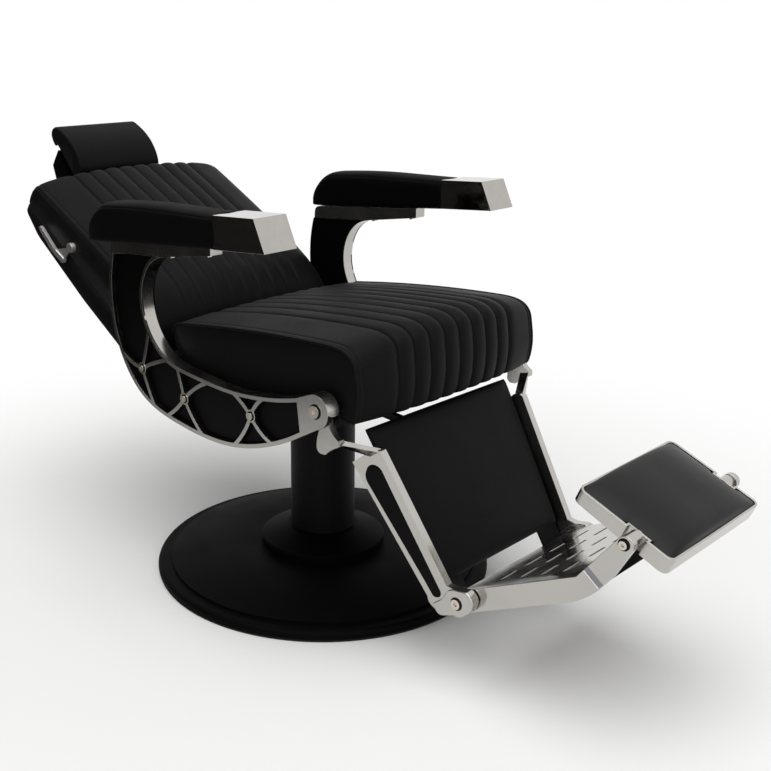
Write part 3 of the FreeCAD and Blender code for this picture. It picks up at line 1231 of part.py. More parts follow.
def link_bar():
    y0, y1 = LINK_Y - LINK_WIDTH / 2, LINK_Y + LINK_WIDTH / 2
    first, second = crank_pin_place(), leg_crank_place()
    bar = strap(first, second, LINK_HEIGHT / 2, LINK_HEIGHT / 2, y0, y1)
    ends = [rod_y(p, LINK_END_RADIUS, y0, y1) for p in (first, second)]
    holes = [rod_y(first, CRANK_PIN_RADIUS + RUN_FIT, y0 - 1, y1 + 1),
             rod_y(second, CRANK_PIN_RADIUS + LINK_PLAY, y0 - 1, y1 + 1)]
    return fused(bar, *ends).cut(holes)


def strut_rod():
    x, _ = crank_pin_place()
    y0, y1 = STRUT_Y - STRUT_EYE / 2, STRUT_Y + STRUT_EYE / 2
    eye = rod_y((x, STRUT_Z), STRUT_EYE_RADIUS, y0, y1)
    rod = strut_bar(STRUT_ROD_RADIUS, x, STRUT_FRONT - x - STRUT_ROD_CLEAR)
    hole = rod_y((x, STRUT_Z), CRANK_PIN_RADIUS + STRUT_PLAY, y0 - 1, y1 + 1)
    return fused(eye, rod).cut(hole)


# Leg rest

def arm_face(along):
    """Outer y of a leg arm at a distance down it, as a positive number."""
    return LEG_ARM_OUT - LEG_ARM_TAPER * along


def on_leg_arm(depth):
    """Points (along, forward) on the right arm's sloping outer face, moved in by depth."""
    def at(along, forward):
        x, z = leg_point(along, forward)
        return V(x, -arm_face(along) + depth, z)
    return at


def leg_slot(depth, inset):
    """Tapered round-ended outline on the right arm's outer face."""
    top, end = LEG_SLOT_TOP, LEG_ARM_LENGTH
    wide, narrow = LEG_SLOT_HALF_TOP - inset, LEG_SLOT_HALF_END - inset
    mid_top, mid_end = -0.5 * LEG_ARM_WIDTH_TOP, -0.6 * LEG_ARM_WIDTH_END
    return path(on_leg_arm(depth), (top, mid_top - wide), (end, mid_end - narrow),
                ((end + narrow, mid_end), (end, mid_end + narrow)), (top, mid_top + wide),
                ((top - wide, mid_top), (top, mid_top - wide)))


def from_leg_pivot(dx, dz):
    """(x, z) of a point measured from the leg pivot."""
    return LEG_PIVOT[0] + dx, LEG_PIVOT[1] + dz


def leg_arm():
    eye_y0 = -FRAME_IN - LEG_EYE - MOVING_GAP
    eye_y1 = -FRAME_IN - MOVING_GAP
    eye = rod_y(LEG_PIVOT, LEG_EYE_RADIUS, eye_y0, eye_y1)
    hook = plate(eye_y0, eye_y1, *spread(from_leg_pivot, LEG_HOOK))
    near = path(at_y(eye_y1 - LEG_WEB_SINK), *spread(from_leg_pivot, LEG_WEB_START))
    far = path(at_y(-arm_face(0.0) + LEG_ARM / 2), *spread(leg_point, LEG_WEB_END))
    web = loft([near, far])
    wide, narrow, length = LEG_ARM_WIDTH_TOP, LEG_ARM_WIDTH_END, LEG_ARM_LENGTH
    edge = path(on_leg_arm(0.0), (6.0, -wide), (2.0, -28.0), ((2.0, -7.0), (10.0, 0.0)), (length - 6, 0.0),
                (length + LEG_ARM_HEEL[0], LEG_ARM_HEEL[1]), (length + LEG_ARM_TOE[0], LEG_ARM_TOE[1]),
                (length + LEG_ARM_END, -0.72 * narrow),
                ((length + 0.75 * LEG_ARM_END, -0.98 * narrow), (length + 2, -narrow)))
    blade = prism(edge, V(0, LEG_ARM, 0))
    inner = -FOOT_RAIL_OUT - MOVING_GAP
    knuckle = rod_y(FOOT_HINGE, FOOT_KNUCKLE, -FOOT_HINGE_OUT, inner)
    body = fused(eye, hook, web, blade, knuckle)
    recess = prism(leg_slot(-2.0, 0.0), V(0, LEG_RECESS + 2.0, 0))
    reach = 2 * LEG_ARM_LENGTH
    x, z = FOOT_HINGE
    inner_trim = box(x - reach, x + reach, inner, 0, -reach, z + LEG_TRIM)
    holes = [rod_y(LEG_PIVOT, LEG_PIN_RADIUS + RUN_FIT, eye_y0 - 1, eye_y1 + 1),
             rod_y(FOOT_HINGE, FOOT_HINGE_RADIUS + RUN_FIT, -FOOT_HINGE_OUT - 1, 0)]
    return body.cut([recess, inner_trim] + holes)


def leg_inlay():
    return prism(leg_slot(LEG_RECESS - LEG_INLAY, ASSEMBLY_GAP), V(0, LEG_INLAY, 0))


def foot_hinge_bolts():
    face, inner_end = -FOOT_HINGE_OUT, -FOOT_RAIL_IN
    return both_sides(headed_bolt(FOOT_HINGE, FOOT_HINGE_HEAD, FOOT_HINGE_RADIUS, face, inner_end))


def calf_half(along):
    """Half width of the calf pad, just inside the leg arms."""
    return arm_face(along) - LEG_ARM - CALF_SIDE_GAP


def leg_section(along, half, rear, face, crown):
    """Section across the leg rest: flat rear, square sides and a crowned front."""
    corners = []
    for y, forward in ((-half, rear), (half, rear), (half, face), (0.0, face + crown), (-half, face)):
        x, z = leg_point(along, forward)
        corners.append(V(x, y, z))
    a, b, c, d, e = corners
    lines = [Part.LineSegment(a, b), Part.LineSegment(b, c), Part.Arc(c, d, e), Part.LineSegment(e, a)]
    return Part.Wire([line.toShape() for line in lines])


def calf_pad():
    rear = CALF_FACE - CALF_THICK
    sections = []
    length = CALF_BOTTOM - CALF_TOP
    for share, fall in ((0.0, 1.0), (0.02, 0.36), (0.06, 0.0), (0.5, 0.0), (0.94, 0.0), (0.98, 0.36),
                        (1.0, 1.0)):
        along = CALF_TOP + share * length
        crown = CALF_CROWN * (1.0 - 0.45 * (2 * share - 1) ** 4)
        inset = CALF_END_ROUND * fall
        sections.append(leg_section(along, calf_half(along) - inset / 3, rear, CALF_FACE - inset, crown))
    return loft(sections)


def calf_board():
    front = CALF_FACE - CALF_THICK - SOFT_GAP
    rear = front - CALF_BOARD
    top, bottom = CALF_BOARD_TOP, CALF_BOTTOM
    side = LEG_ARM + ASSEMBLY_GAP
    corners = []
    for along in (top, bottom):
        x, z = leg_point(along, front)
        corners.append((x, arm_face(along) - side, z))
    (x0, h0, z0), (x1, h1, z1) = corners
    wire = Part.makePolygon([V(x0, -h0, z0), V(x0, h0, z0), V(x1, h1, z1), V(x1, -h1, z1), V(x0, -h0, z0)])
    rx, rz = leg_point(0, rear)
    fx, fz = leg_point(0, front)
    body = prism(Part.Wire(wire), V(rx - fx, 0, rz - fz))
    tab_half = arm_face(bottom + CALF_TAB_LENGTH) - side
    tabs = []
    for y0 in (-tab_half, tab_half - CALF_TAB_WIDTH):
        corners = [leg_point(bottom - 2, front), leg_point(bottom + CALF_TAB_LENGTH, front),
                   leg_point(bottom + CALF_TAB_LENGTH, rear), leg_point(bottom - 2, rear)]
        tabs.append(plate(y0, y0 + CALF_TAB_WIDTH, *corners))
    pin_place = leg_crank_place()
    outer = LINK_WIDTH / 2 + MOVING_GAP
    lugs = []
    for y0 in (LINK_Y - outer - CRANK_PLATE, LINK_Y + outer):
        root = leg_point(top + CRANK_EYE + 4, rear - CRANK_EYE + 2)
        lugs.append(strap(pin_place, root, CRANK_EYE, CRANK_EYE, y0, y0 + CRANK_PLATE))
    pin = rod_y(pin_place, CRANK_PIN_RADIUS, LINK_Y - outer - CRANK_PLATE, LINK_Y + outer + CRANK_PLATE)
    return fused(body, pin, *tabs, *lugs)


# Foot plate

def flip_pivot_place():
    return flip_point(*FLIP_PIVOT)


def foot_rail(y0, y1):
    """One rail of the foot plate: straight run, upward bend and an arm with a rounded end."""
    arm = local(flip_pivot_place(), FOOT_ARM_RISE)
    corner = foot_point(FOOT_BEND, FOOT_RAIL_TOP)
    low = foot_point(FOOT_BEND - FOOT_BEND_START, FOOT_RAIL_BOTTOM)
    low_mid = foot_point(FOOT_BEND + FOOT_BEND_MID[0], FOOT_RAIL_BOTTOM + FOOT_BEND_MID[1])
    low_end = arm(-FOOT_BEND_END, FOOT_ARM_BOTTOM)
    turn = arm(FOOT_ARM_CORNER, FOOT_ARM_BOTTOM)
    heel = foot_point(0.0, FOOT_RAIL_TOP)
    heel_mid = foot_point(-FOOT_HEEL_ROUND[0], -FOOT_HEEL_ROUND[1])
    end = (arm(*FOOT_ARM_TIP), arm(0.0, -FOOT_ARM_END))
    return plate(y0, y1, heel, corner, arm(0.0, FOOT_ARM_TOP), end, turn, low_end, (low_mid, low),
                 foot_point(0.0, FOOT_RAIL_BOTTOM), (heel_mid, heel))


def foot_plate():
    pivot = flip_pivot_place()
    arm = local(pivot, FOOT_ARM_RISE)
    y0, y1, wide = -FOOT_RAIL_OUT, -FOOT_RAIL_IN, -2 * FOOT_ARM_BOTTOM
    start, end = -FOOT_GROOVE_AT, -FOOT_GROOVE_AT + FOOT_GROOVE_WIDTH
    band = plate(y0 - 1, y0 + FOOT_GROOVE, arm(start, wide), arm(start, -wide), arm(end, -wide),
                 arm(end, wide))
    bores = [rod_y(FOOT_HINGE, FOOT_HINGE_RADIUS + RUN_FIT, y0 - 1, y1 + 1),
             rod_y(pivot, FLIP_PIN_RADIUS + RUN_FIT, y0 - 1, y1 + 1)]
    rail = foot_rail(y0, y1).cut([band] + bores)
    under = FOOT_RAIL_TOP - FOOT_TREAD
    tips = [arm(along, FOOT_ARM_TOP - below) for along, below in FOOT_TREAD_TIP]
    tread = plate(-FOOT_RAIL_IN - 1, FOOT_RAIL_IN + 1, foot_point(FOOT_TREAD_START, FOOT_RAIL_TOP),
                  foot_point(FOOT_BEND, FOOT_RAIL_TOP), *tips,
                  foot_point(FOOT_BEND + FOOT_TREAD_INNER, under), foot_point(FOOT_TREAD_START, under))
    return fused(rail, mirrored(rail), tread.cut(tread_slots()))


def tread_slots():
    """Blocks that cut the rows of slots through the tread."""
    top = 2 * FOOT_RAIL_TOP
    first = (FOOT_TREAD_START + FOOT_BEND - (SLOT_ROWS - 1) * SLOT_PITCH_X) / 2
    slots = []
    for row in range(SLOT_ROWS):
        a0 = first + row * SLOT_PITCH_X
        a1 = a0 + SLOT_WIDTH
        for column in range(SLOT_COLUMNS):
            y = (column - (SLOT_COLUMNS - 1) / 2) * SLOT_PITCH_Y
            corners = [foot_point(a0, 0), foot_point(a1, 0), foot_point(a1, top), foot_point(a0, top)]
            slots.append(plate(y - SLOT_LENGTH / 2, y + SLOT_LENGTH / 2, *corners))
    return slots


def toe_cover():
    """Black sheet across the end of the tread, between the arms of the rails and below the flip pad."""
    arm = local(flip_pivot_place(), FOOT_ARM_RISE)
    (a0, h0), (a1, h1) = TOE_HEAD, TOE_FOOT
    half = FOOT_RAIL_IN - ASSEMBLY_GAP
    return plate(-half, half, arm(a0, h0), arm(a1, h1), arm(a1 - TOE_SHEET, h1), arm(a0 - TOE_SHEET, h0))


# Flip pad

def flip_plan(above, inset):
    """Rounded rectangle of the tray in its own plane at a height above its rim."""
    half, length, r = FLIP_HALF - inset, FLIP_LENGTH, max(FLIP_CORNER - inset, 2.0)
    k = r * (1 - math.sqrt(0.5))
    a0, a1 = inset, length - inset

    def at(along, y):
        x, z = flip_point(along, above)
        return V(x, y, z)
    return path(at, (a0 + r, -half), (a1 - r, -half), ((a1 - k, -half + k), (a1, -half + r)),
                (a1, half - r), ((a1 - k, half - k), (a1 - r, half)), (a0 + r, half),
                ((a0 + k, half - k), (a0, half - r)), (a0, -half + r),
                ((a0 + k, -half + k), (a0 + r, -half)))


def flip_normal(distance):
    x0, z0 = flip_point(0, 0)
    x1, z1 = flip_point(0, distance)
    return V(x1 - x0, 0, z1 - z0)


def flip_notch(grow, above):
    """Blocks at both ends of the tray that clear the rail ends, grown by a margin."""
    a = FLIP_PIVOT[0]
    half = FLIP_NOTCH_HALF + grow
    inner = FLIP_HALF - FLIP_NOTCH - grow
    corners = [flip_point(a - half, -FLIP_NOSE_DEPTH), flip_point(a + half, -FLIP_NOSE_DEPTH),
               flip_point(a + half, above), flip_point(a - half, above)]
    return [plate(side * inner, side * (FLIP_HALF + 1), *corners) for side in (-1, 1)]


def flip_tray():
    length = FLIP_LENGTH
    body = prism(flip_plan(-FLIP_NOSE_DEPTH, 0.0), flip_normal(FLIP_NOSE_DEPTH))
    below = [flip_point(-1, -FLIP_DEPTH), flip_point(length + 1, -FLIP_NOSE_DEPTH),
             flip_point(length + 1, -2 * FLIP_NOSE_DEPTH), flip_point(-1, -2 * FLIP_NOSE_DEPTH)]
    whole = body.cut(plate(-FLIP_HALF - 1, FLIP_HALF + 1, *below))
    pan = prism(flip_plan(-FLIP_DEPTH + FLIP_FLOOR, FLIP_WALL), flip_normal(FLIP_NOSE_DEPTH))
    walls = [whole.common(block) for block in flip_notch(FLIP_WALL, 0.0)]
    body = fused(whole.cut(pan), *walls).cut(flip_notch(0.0, 1.0))
    pivot = flip_pivot_place()
    boss_in, boss_out = FLIP_HALF - FLIP_NOTCH - FLIP_WALL, FOOT_RAIL_IN - MOVING_GAP / 2
    bosses = [rod_y(pivot, FLIP_BOSS, -boss_out, -boss_in), rod_y(pivot, FLIP_BOSS, boss_in, boss_out)]
    body = fused(body, *bosses)
    deep = boss_in - 1
    radius = FLIP_PIN_RADIUS + RUN_FIT
    bores = [rod_y(pivot, radius, -FOOT_RAIL_OUT, -deep), rod_y(pivot, radius, deep, FOOT_RAIL_OUT)]
    return body.cut(bores)


def flip_pivot_bolts():
    face = -FOOT_RAIL_OUT - MOVING_GAP / 2
    inner_end = -FLIP_HALF + FLIP_NOTCH + FLIP_WALL
    return both_sides(headed_bolt(flip_pivot_place(), FLIP_PIN_HEAD, FLIP_PIN_RADIUS, face, inner_end))


def flip_pad():
    inner = FLIP_WALL + SOFT_GAP
    rear, front = inner, FLIP_LENGTH - inner
    half = FLIP_HALF - FLIP_WALL - SOFT_GAP
    bottom = -FLIP_DEPTH + FLIP_FLOOR + SOFT_GAP

    def section(share, inset):
        along = rear + share * (front - rear)
        crown = FLIP_CROWN * (1.0 - 0.6 * (2 * share - 1) ** 4)
        corners = []
        side = -inset
        for y, above in ((-half, bottom), (half, bottom), (half, side), (0.0, crown + side), (-half, side)):
            x, z = flip_point(along, above)
            corners.append(V(x, y, z))
        a, b, c, d, e = corners
        lines = [Part.LineSegment(a, b), Part.LineSegment(b, c), Part.Arc(c, d, e), Part.LineSegment(e, a)]
        return Part.Wire([line.toShape() for line in lines])
    ends = ((0.0, 1.0), (0.03, 0.286), (0.1, 0.0), (0.5, 0.0), (0.9, 0.0), (0.97, 0.286), (1.0, 1.0))
    body = loft([section(share, FLIP_END_ROUND * fall) for share, fall in ends])
    plan = prism(flip_plan(-FLIP_DEPTH, FLIP_WALL + SOFT_GAP), flip_normal(2 * FLIP_DEPTH + FLIP_CROWN))
    return body.common(plan).cut(flip_notch(FLIP_WALL + SOFT_GAP, 2 * FLIP_CROWN))


PARTS = {
    "floor_ring": floor_ring(),
    "base_plate": base_plate(),
    "base_cover": base_cover(),
    "pump_cylinder": pump_cylinder(),
    "pump_bolts": pump_bolts(),
    "pedal_bracket": pedal_bracket(),
    "pedal_pin": pedal_pin(),
    "pump_pedal": pump_pedal(),
    "pedal_pad": pedal_pad(),
    "hydraulic_ram": hydraulic_ram(),
    "column_sleeve": column_sleeve(),
    "swivel_bearing": swivel_bearing(),
    "seat_mount": seat_mount(),
    "seat_carrier": seat_carrier(),
    "seat_pan": seat_pan(),
    "seat_cushion": seat_cushion(),
    "strut_cylinder": strut_cylinder(),
    "strut_rod": strut_rod(),
    "recline_shaft": recline_shaft(),
    "frame_bolts": frame_bolts(),
    "leg_pivot_bolts": leg_pivot_bolts(),
    "arm_screws": arm_screws(),
    "back_frame": back_frame(),
    "back_shell": back_shell(),
    "back_cushion": back_cushion(),
    "headrest_guide": headrest_guide(),
    "headrest_post": headrest_post(),
    "headrest_housing": headrest_housing(),
    "headrest_hinge": headrest_hinge(),
    "headrest_pad": headrest_pad(),
    "lever_boss": lever_boss(),
    "recline_lever": recline_lever(),
    "link_bar": link_bar(),
    "calf_board": calf_board(),
    "calf_pad": calf_pad(),
    "foot_hinge_bolts": foot_hinge_bolts(),
    "foot_plate": foot_plate(),
    "toe_cover": toe_cover(),
    "flip_tray": flip_tray(),
    "flip_pad": flip_pad(),
    "flip_pivot_bolts": flip_pivot_bolts(),
}
for name, make in (("side_frame", side_frame), ("side_inlay", side_inlay), ("side_liner", side_liner),
                   ("arm_support", arm_support), ("arm_pad", arm_pad), ("arm_block", arm_block),
                   ("leg_arm", leg_arm), ("leg_inlay", leg_inlay)):
    right = make()
    PARTS[name + "_right"] = right
    PARTS[name + "_left"] = mirrored(right)

os.makedirs("parts", exist_ok=True)
for name, shape in PARTS.items():
    shape.exportStep("parts/" + name + ".step")
    print(name, len(shape.Solids), shape.isValid(), round(shape.Volume / 1000.0, 1), "cm3")
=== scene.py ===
import math

import bmesh
import bpy
import numpy as np
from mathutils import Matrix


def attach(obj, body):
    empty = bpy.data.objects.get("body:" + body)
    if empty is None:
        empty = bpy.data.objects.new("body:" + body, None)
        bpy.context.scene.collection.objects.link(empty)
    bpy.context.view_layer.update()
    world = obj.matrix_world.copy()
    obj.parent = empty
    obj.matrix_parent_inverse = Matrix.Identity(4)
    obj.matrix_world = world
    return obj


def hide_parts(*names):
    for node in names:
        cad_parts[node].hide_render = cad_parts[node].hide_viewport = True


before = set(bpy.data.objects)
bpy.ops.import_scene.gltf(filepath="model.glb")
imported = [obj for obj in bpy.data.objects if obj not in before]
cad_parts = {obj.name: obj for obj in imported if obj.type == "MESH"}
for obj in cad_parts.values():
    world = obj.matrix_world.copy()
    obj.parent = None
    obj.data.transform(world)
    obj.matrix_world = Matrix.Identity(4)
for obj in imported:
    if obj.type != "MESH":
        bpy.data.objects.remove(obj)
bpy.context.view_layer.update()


# Studio
# White paper that runs out of sight under a wide soft sun, a weaker box in front, and a dark cloth flag
# left of the camera, which only reflections see. The camera stands where the photograph's did.
MM = 0.001
scene = bpy.context.scene


def linear(colour):
    """sRGB hex, such as 1a2b3c, as linear red, green, blue and a full alpha: the sRGB curve undone."""
    srgb = np.array([int(colour[i:i + 2], 16) for i in (0, 2, 4)]) / 255.0
    return (*np.where(srgb <= 0.04045, srgb / 12.92, ((srgb + 0.055) / 1.055) ** 2.4), 1.0)


def plug(tree, node, inputs):
    """Sets a node's inputs, by name or by number, to values, or links them to other nodes' outputs."""
    for name, value in inputs.items():
        if isinstance(value, bpy.types.NodeSocket):
            tree.links.new(value, node.inputs[name])
        else:
            node.inputs[name].default_value = value


def add(tree, kind, inputs=None, **settings):
    """Adds one shader node with its settings, and plugs its inputs."""
    made = tree.nodes.new(kind)
    for name, value in settings.items():
        setattr(made, name, value)
    plug(tree, made, inputs or {})
    return made


def finish(name, colour, **sockets):
    """New material of a mean colour, with its tree, its main shader and Object coordinates, ready for a
    pattern. A socket's name is written with _ for each space."""
    material = bpy.data.materials.new(name)
    material.use_nodes = True
    tree = material.node_tree
    shader = tree.nodes["Principled BSDF"]
    plug(tree, shader, {"Base Color": linear(colour)})
    plug(tree, shader, {socket.replace("_", " "): value for socket, value in sockets.items()})
    return material, tree, shader, add(tree, "ShaderNodeTexCoord").outputs["Object"]


def shape(name, points, faces, material):
    """New smooth object at the origin from an array of points in millimetres and a list of faces."""
    mesh = bpy.data.meshes.new(name)
    mesh.from_pydata((np.asarray(points).reshape(-1, 3) * MM).tolist(), [], faces)
    mesh.polygons.foreach_set("use_smooth", np.ones(len(mesh.polygons), bool))
    mesh.materials.append(material)
    mesh.update()
    made = bpy.data.objects.new(name, mesh)
    scene.collection.objects.link(made)
    return made


FLOOR_HALF = 30000.0
FLOOR_LEVEL = -0.5
FLOOR_CORNERS = ((-FLOOR_HALF, -FLOOR_HALF), (FLOOR_HALF, -FLOOR_HALF), (FLOOR_HALF, FLOOR_HALF),
                 (-FLOOR_HALF, FLOOR_HALF))
PAPER_WHITE, PAPER_SHADE = "f4f4f3", "2c2a28"
# In metres from the middle of the floor.
WHITE_FROM, WHITE_TO = 0.75, 1.7
SHADE_FROM, SHADE_TO = 0.5, 2.1
SHADE_WAY = (-0.707, -0.707, 0.0)
paper, tree, shader, place = finish("matt_studio_paper", PAPER_WHITE, Roughness=0.9, Specular_IOR_Level=0.0)
# The eye sees paper that turns to pure white with distance. Mirrors see painted shade on it, darker towards
# the flag.
path = add(tree, "ShaderNodeLightPath").outputs
reach = add(tree, "ShaderNodeVectorMath", {0: place}, operation="LENGTH").outputs["Value"]
far = add(tree, "ShaderNodeMapRange", {"Value": reach, "From Min": WHITE_FROM, "From Max": WHITE_TO},
          interpolation_type="SMOOTHSTEP")
far = add(tree, "ShaderNodeMath", {0: far.outputs[0], 1: path["Is Camera Ray"]}, operation="MULTIPLY")
aside = add(tree, "ShaderNodeVectorMath", {0: place, 1: SHADE_WAY}, operation="DOT_PRODUCT").outputs["Value"]
shade = add(tree, "ShaderNodeMapRange", {"Value": aside, "From Min": SHADE_FROM, "From Max": SHADE_TO},
            interpolation_type="SMOOTHSTEP")
shade = add(tree, "ShaderNodeMath", {0: shade.outputs[0], 1: path["Is Glossy Ray"]}, operation="MULTIPLY")
tone = add(tree, "ShaderNodeMix", {0: shade.outputs[0], 6: linear(PAPER_WHITE), 7: linear(PAPER_SHADE)},
           data_type="RGBA")
plug(tree, shader, {"Base Color": tone.outputs[2]})
glow = add(tree, "ShaderNodeEmission", {"Color": linear("ffffff"), "Strength": 1.0})
mixed = add(tree, "ShaderNodeMixShader", {0: far.outputs[0], 1: shader.outputs[0], 2: glow.outputs[0]})
plug(tree, tree.nodes["Material Output"], {"Surface": mixed.outputs[0]})
floor = shape("floor", [(x, y, FLOOR_LEVEL) for x, y in FLOOR_CORNERS], [(0, 1, 2, 3)], paper)

FLAG_CENTRE = np.array([-1500.0, -2000.0, 0.0])
FLAG_REACH = 2700.0 * np.array([0.8, -0.6, 0.0])
FLAG_RISE = np.array([0.0, 0.0, 2300.0])
# Dull woven cloth, which the metals show as a plain dark patch.
flag_cloth = finish("black_flag_cloth", "2e2c2a", Roughness=1.0, Specular_IOR_Level=0.0)[0]
left, right = FLAG_CENTRE - FLAG_REACH, FLAG_CENTRE + FLAG_REACH
flag = shape("flag", [left, right, right + FLAG_RISE, left + FLAG_RISE], [(0, 1, 2, 3)], flag_cloth)
flag.visible_camera = False
flag.visible_diffuse = False
flag.visible_shadow = False

ROOM_LIGHT = 0.45
world = bpy.data.worlds.new("studio")
scene.world = world
world.use_nodes = True
tree = world.node_tree
tree.nodes.clear()
# The eye, mirrors and glass see plain white; matt surfaces are lit by a dimmer room.
path = add(tree, "ShaderNodeLightPath").outputs
seen = add(tree, "ShaderNodeMath", {0: path["Is Camera Ray"], 1: path["Is Glossy Ray"]}, operation="MAXIMUM")
seen = add(tree, "ShaderNodeMath", {0: seen.outputs[0], 1: path["Is Transmission Ray"]}, operation="MAXIMUM")
room = add(tree, "ShaderNodeBackground", {"Color": linear("ffffff"), "Strength": ROOM_LIGHT})
backdrop = add(tree, "ShaderNodeBackground", {"Color": linear("ffffff"), "Strength": 1.0})
sky = add(tree, "ShaderNodeMixShader", {0: seen.outputs[0], 1: room.outputs[0], 2: backdrop.outputs[0]})
add(tree, "ShaderNodeOutputWorld", {"Surface": sky.outputs[0]})

SUN_POWER = 1.75
SUN_ANGLE = math.radians(60)
SUN_PLACE, SUN_TURN = (0.0, 0.0, 4.0), (0.24, 0.14, 0.0)
BOX_POWER = 10.0
BOX_SIZE = 1.6
BOX_PLACE, BOX_TURN = (2.6, -1.2, 2.0), (0.95, 0.0, 1.14)
sun = bpy.data.lights.new("soft_sun", "SUN")
sun.energy = SUN_POWER
sun.angle = SUN_ANGLE
box = bpy.data.lights.new("front_box", "AREA")
box.energy = BOX_POWER
box.size = BOX_SIZE
for lamp, position, turn in ((sun, SUN_PLACE, SUN_TURN), (box, BOX_PLACE, BOX_TURN)):
    holder = bpy.data.objects.new(lamp.name, lamp)
    holder.location = position
    holder.rotation_euler = turn
    scene.collection.objects.link(holder)

CAMERA_PLACE = (1.5385, -1.5724, 1.1026)
CAMERA_YAW = 0.77336
CAMERA_PITCH = 0.31328
CAMERA_LENS = 52.69
CAMERA_SHIFT = 0.0797
eye = bpy.data.cameras.new("photo_camera")
eye.lens = CAMERA_LENS
eye.shift_x = CAMERA_SHIFT
camera = bpy.data.objects.new("photo_camera", eye)
camera.location = CAMERA_PLACE
camera.rotation_euler = (math.pi / 2 - CAMERA_PITCH, 0.0, CAMERA_YAW)
scene.collection.objects.link(camera)
scene.camera = camera
scene.view_settings.view_transform = "Standard"


# Base and pedal
# A pressed steel dish with a turned rim, on a rubber ring that keeps it off the floor. The dish, its
# stepped cover and the pedal are powder coated matt black; the pedal has a moulded rubber pad.
def dress(material, *nodes):
    """Puts a material in every slot of some CAD nodes."""
    for node in nodes:
        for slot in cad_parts[node].material_slots:
            slot.material = material


# Most of a noise's values lie between these two.
NOISE_SPAN = {"From Min": 0.3, "From Max": 0.7}
POWDER_GRAIN = 1.6 * MM
POWDER_CLOUD = 70.0 * MM
powder_coat, tree, shader, place = finish("powder_coated_steel", "060606", Roughness=0.56,
                                          Specular_IOR_Level=0.03)
# Baked powder melts to a faint orange peel, so highlights spread and break up a little at their edges.
peel = add(tree, "ShaderNodeTexNoise", {"Vector": place, "Scale": 1.0 / POWDER_GRAIN, "Detail": 2.0})
cloud = add(tree, "ShaderNodeTexNoise", {"Vector": place, "Scale": 1.0 / POWDER_CLOUD, "Detail": 3.0})
gloss = add(tree, "ShaderNodeMapRange", {"Value": cloud.outputs["Fac"], **NOISE_SPAN,
                                         "To Min": 0.54, "To Max": 0.62})
tone = add(tree, "ShaderNodeMix", {0: cloud.outputs["Fac"], 6: linear("050505"), 7: linear("080808")},
           data_type="RGBA")
bump = add(tree, "ShaderNodeBump", {"Height": peel.outputs["Fac"], "Strength": 0.12, "Distance": 0.2 * MM})
plug(tree, shader, {"Base Color": tone.outputs[2], "Roughness": gloss.outputs[0], "Normal": bump.outputs[0]})
dress(powder_coat, "base_plate", "base_cover", "pedal_bracket", "pump_pedal")

RUBBER_GRAIN = 2.2 * MM
rubber, tree, shader, place = finish("moulded_rubber", "101011", Roughness=0.78, Specular_IOR_Level=0.3)
# Moulded rubber is dull and slightly dusty, with a fine spark-eroded grain from its mould.
grain = add(tree, "ShaderNodeTexVoronoi", {"Vector": place, "Scale": 1.0 / RUBBER_GRAIN})
bump = add(tree, "ShaderNodeBump", {"Height": grain.outputs["Distance"], "Strength": 0.3,
                                    "Distance": 0.3 * MM})
dust = add(tree, "ShaderNodeMix", {0: grain.outputs["Distance"], 6: linear("0d0d0e"), 7: linear("19191a")},
           data_type="RGBA")
plug(tree, shader, {"Base Color": dust.outputs[2], "Normal": bump.outputs[0]})
dress(rubber, "floor_ring", "pedal_pad")


# Column and pump
# A pump cylinder with its ground ram inside a black sleeve that rises with the seat. Ram, bearing, pins
# and bolts are turned and ground steel; the sleeve is a rolled tube, brushed with black enamel.
TURNING_PITCH = 1.4 * MM
STEEL_CLOUD = 30.0 * MM
ground_steel, tree, shader, place = finish("ground_steel", "b9b6b1", Metallic=1.0, Roughness=0.26)
# Turned rings too fine to show are drawn 1.4 mm apart, so the steel has a faint drawn-out highlight.
rings = add(tree, "ShaderNodeTexWave", {"Vector": place, "Scale": 1.0 / TURNING_PITCH, "Distortion": 1.5,
                                        "Detail": 2.0}, bands_direction="Z")
cloud = add(tree, "ShaderNodeTexNoise", {"Vector": place, "Scale": 1.0 / STEEL_CLOUD, "Detail": 3.0})
gloss = add(tree, "ShaderNodeMapRange", {"Value": cloud.outputs["Fac"], **NOISE_SPAN,
                                         "To Min": 0.2, "To Max": 0.34})
bump = add(tree, "ShaderNodeBump", {"Height": rings.outputs["Fac"], "Strength": 0.05, "Distance": 0.05 * MM})
plug(tree, shader, {"Roughness": gloss.outputs[0], "Normal": bump.outputs[0]})
dress(ground_steel, "pump_cylinder", "pump_bolts", "pedal_pin", "hydraulic_ram", "swivel_bearing")

PAINT_GRAIN = 4.0 * MM
black_paint, tree, shader, place = finish("black_painted_steel", "080809", Roughness=0.5,
                                          Specular_IOR_Level=0.1)
# Brushed enamel over hot rolled steel: a soft uneven gloss from the mill scale below.
scale = add(tree, "ShaderNodeTexNoise", {"Vector": place, "Scale": 1.0 / PAINT_GRAIN, "Detail": 4.0})
gloss = add(tree, "ShaderNodeMapRange", {"Value": scale.outputs["Fac"], "To Min": 0.4, "To Max": 0.62})
bump = add(tree, "ShaderNodeBump", {"Height": scale.outputs["Fac"], "Strength": 0.15, "Distance": 0.4 * MM})
plug(tree, shader, {"Roughness": gloss.outputs[0], "Normal": bump.outputs[0]})
dress(black_paint, "column_sleeve")


# Seat carrier
# Welded steel rails, cross members and a centre beam on the column's mount plate, brushed with the
# sleeve's enamel. They carry the plywood seat pan, the gas strut and the link to the leg rest.
dress(black_paint, "seat_mount", "seat_carrier", "strut_cylinder", "link_bar")
dress(ground_steel, "strut_rod", "recline_shaft")

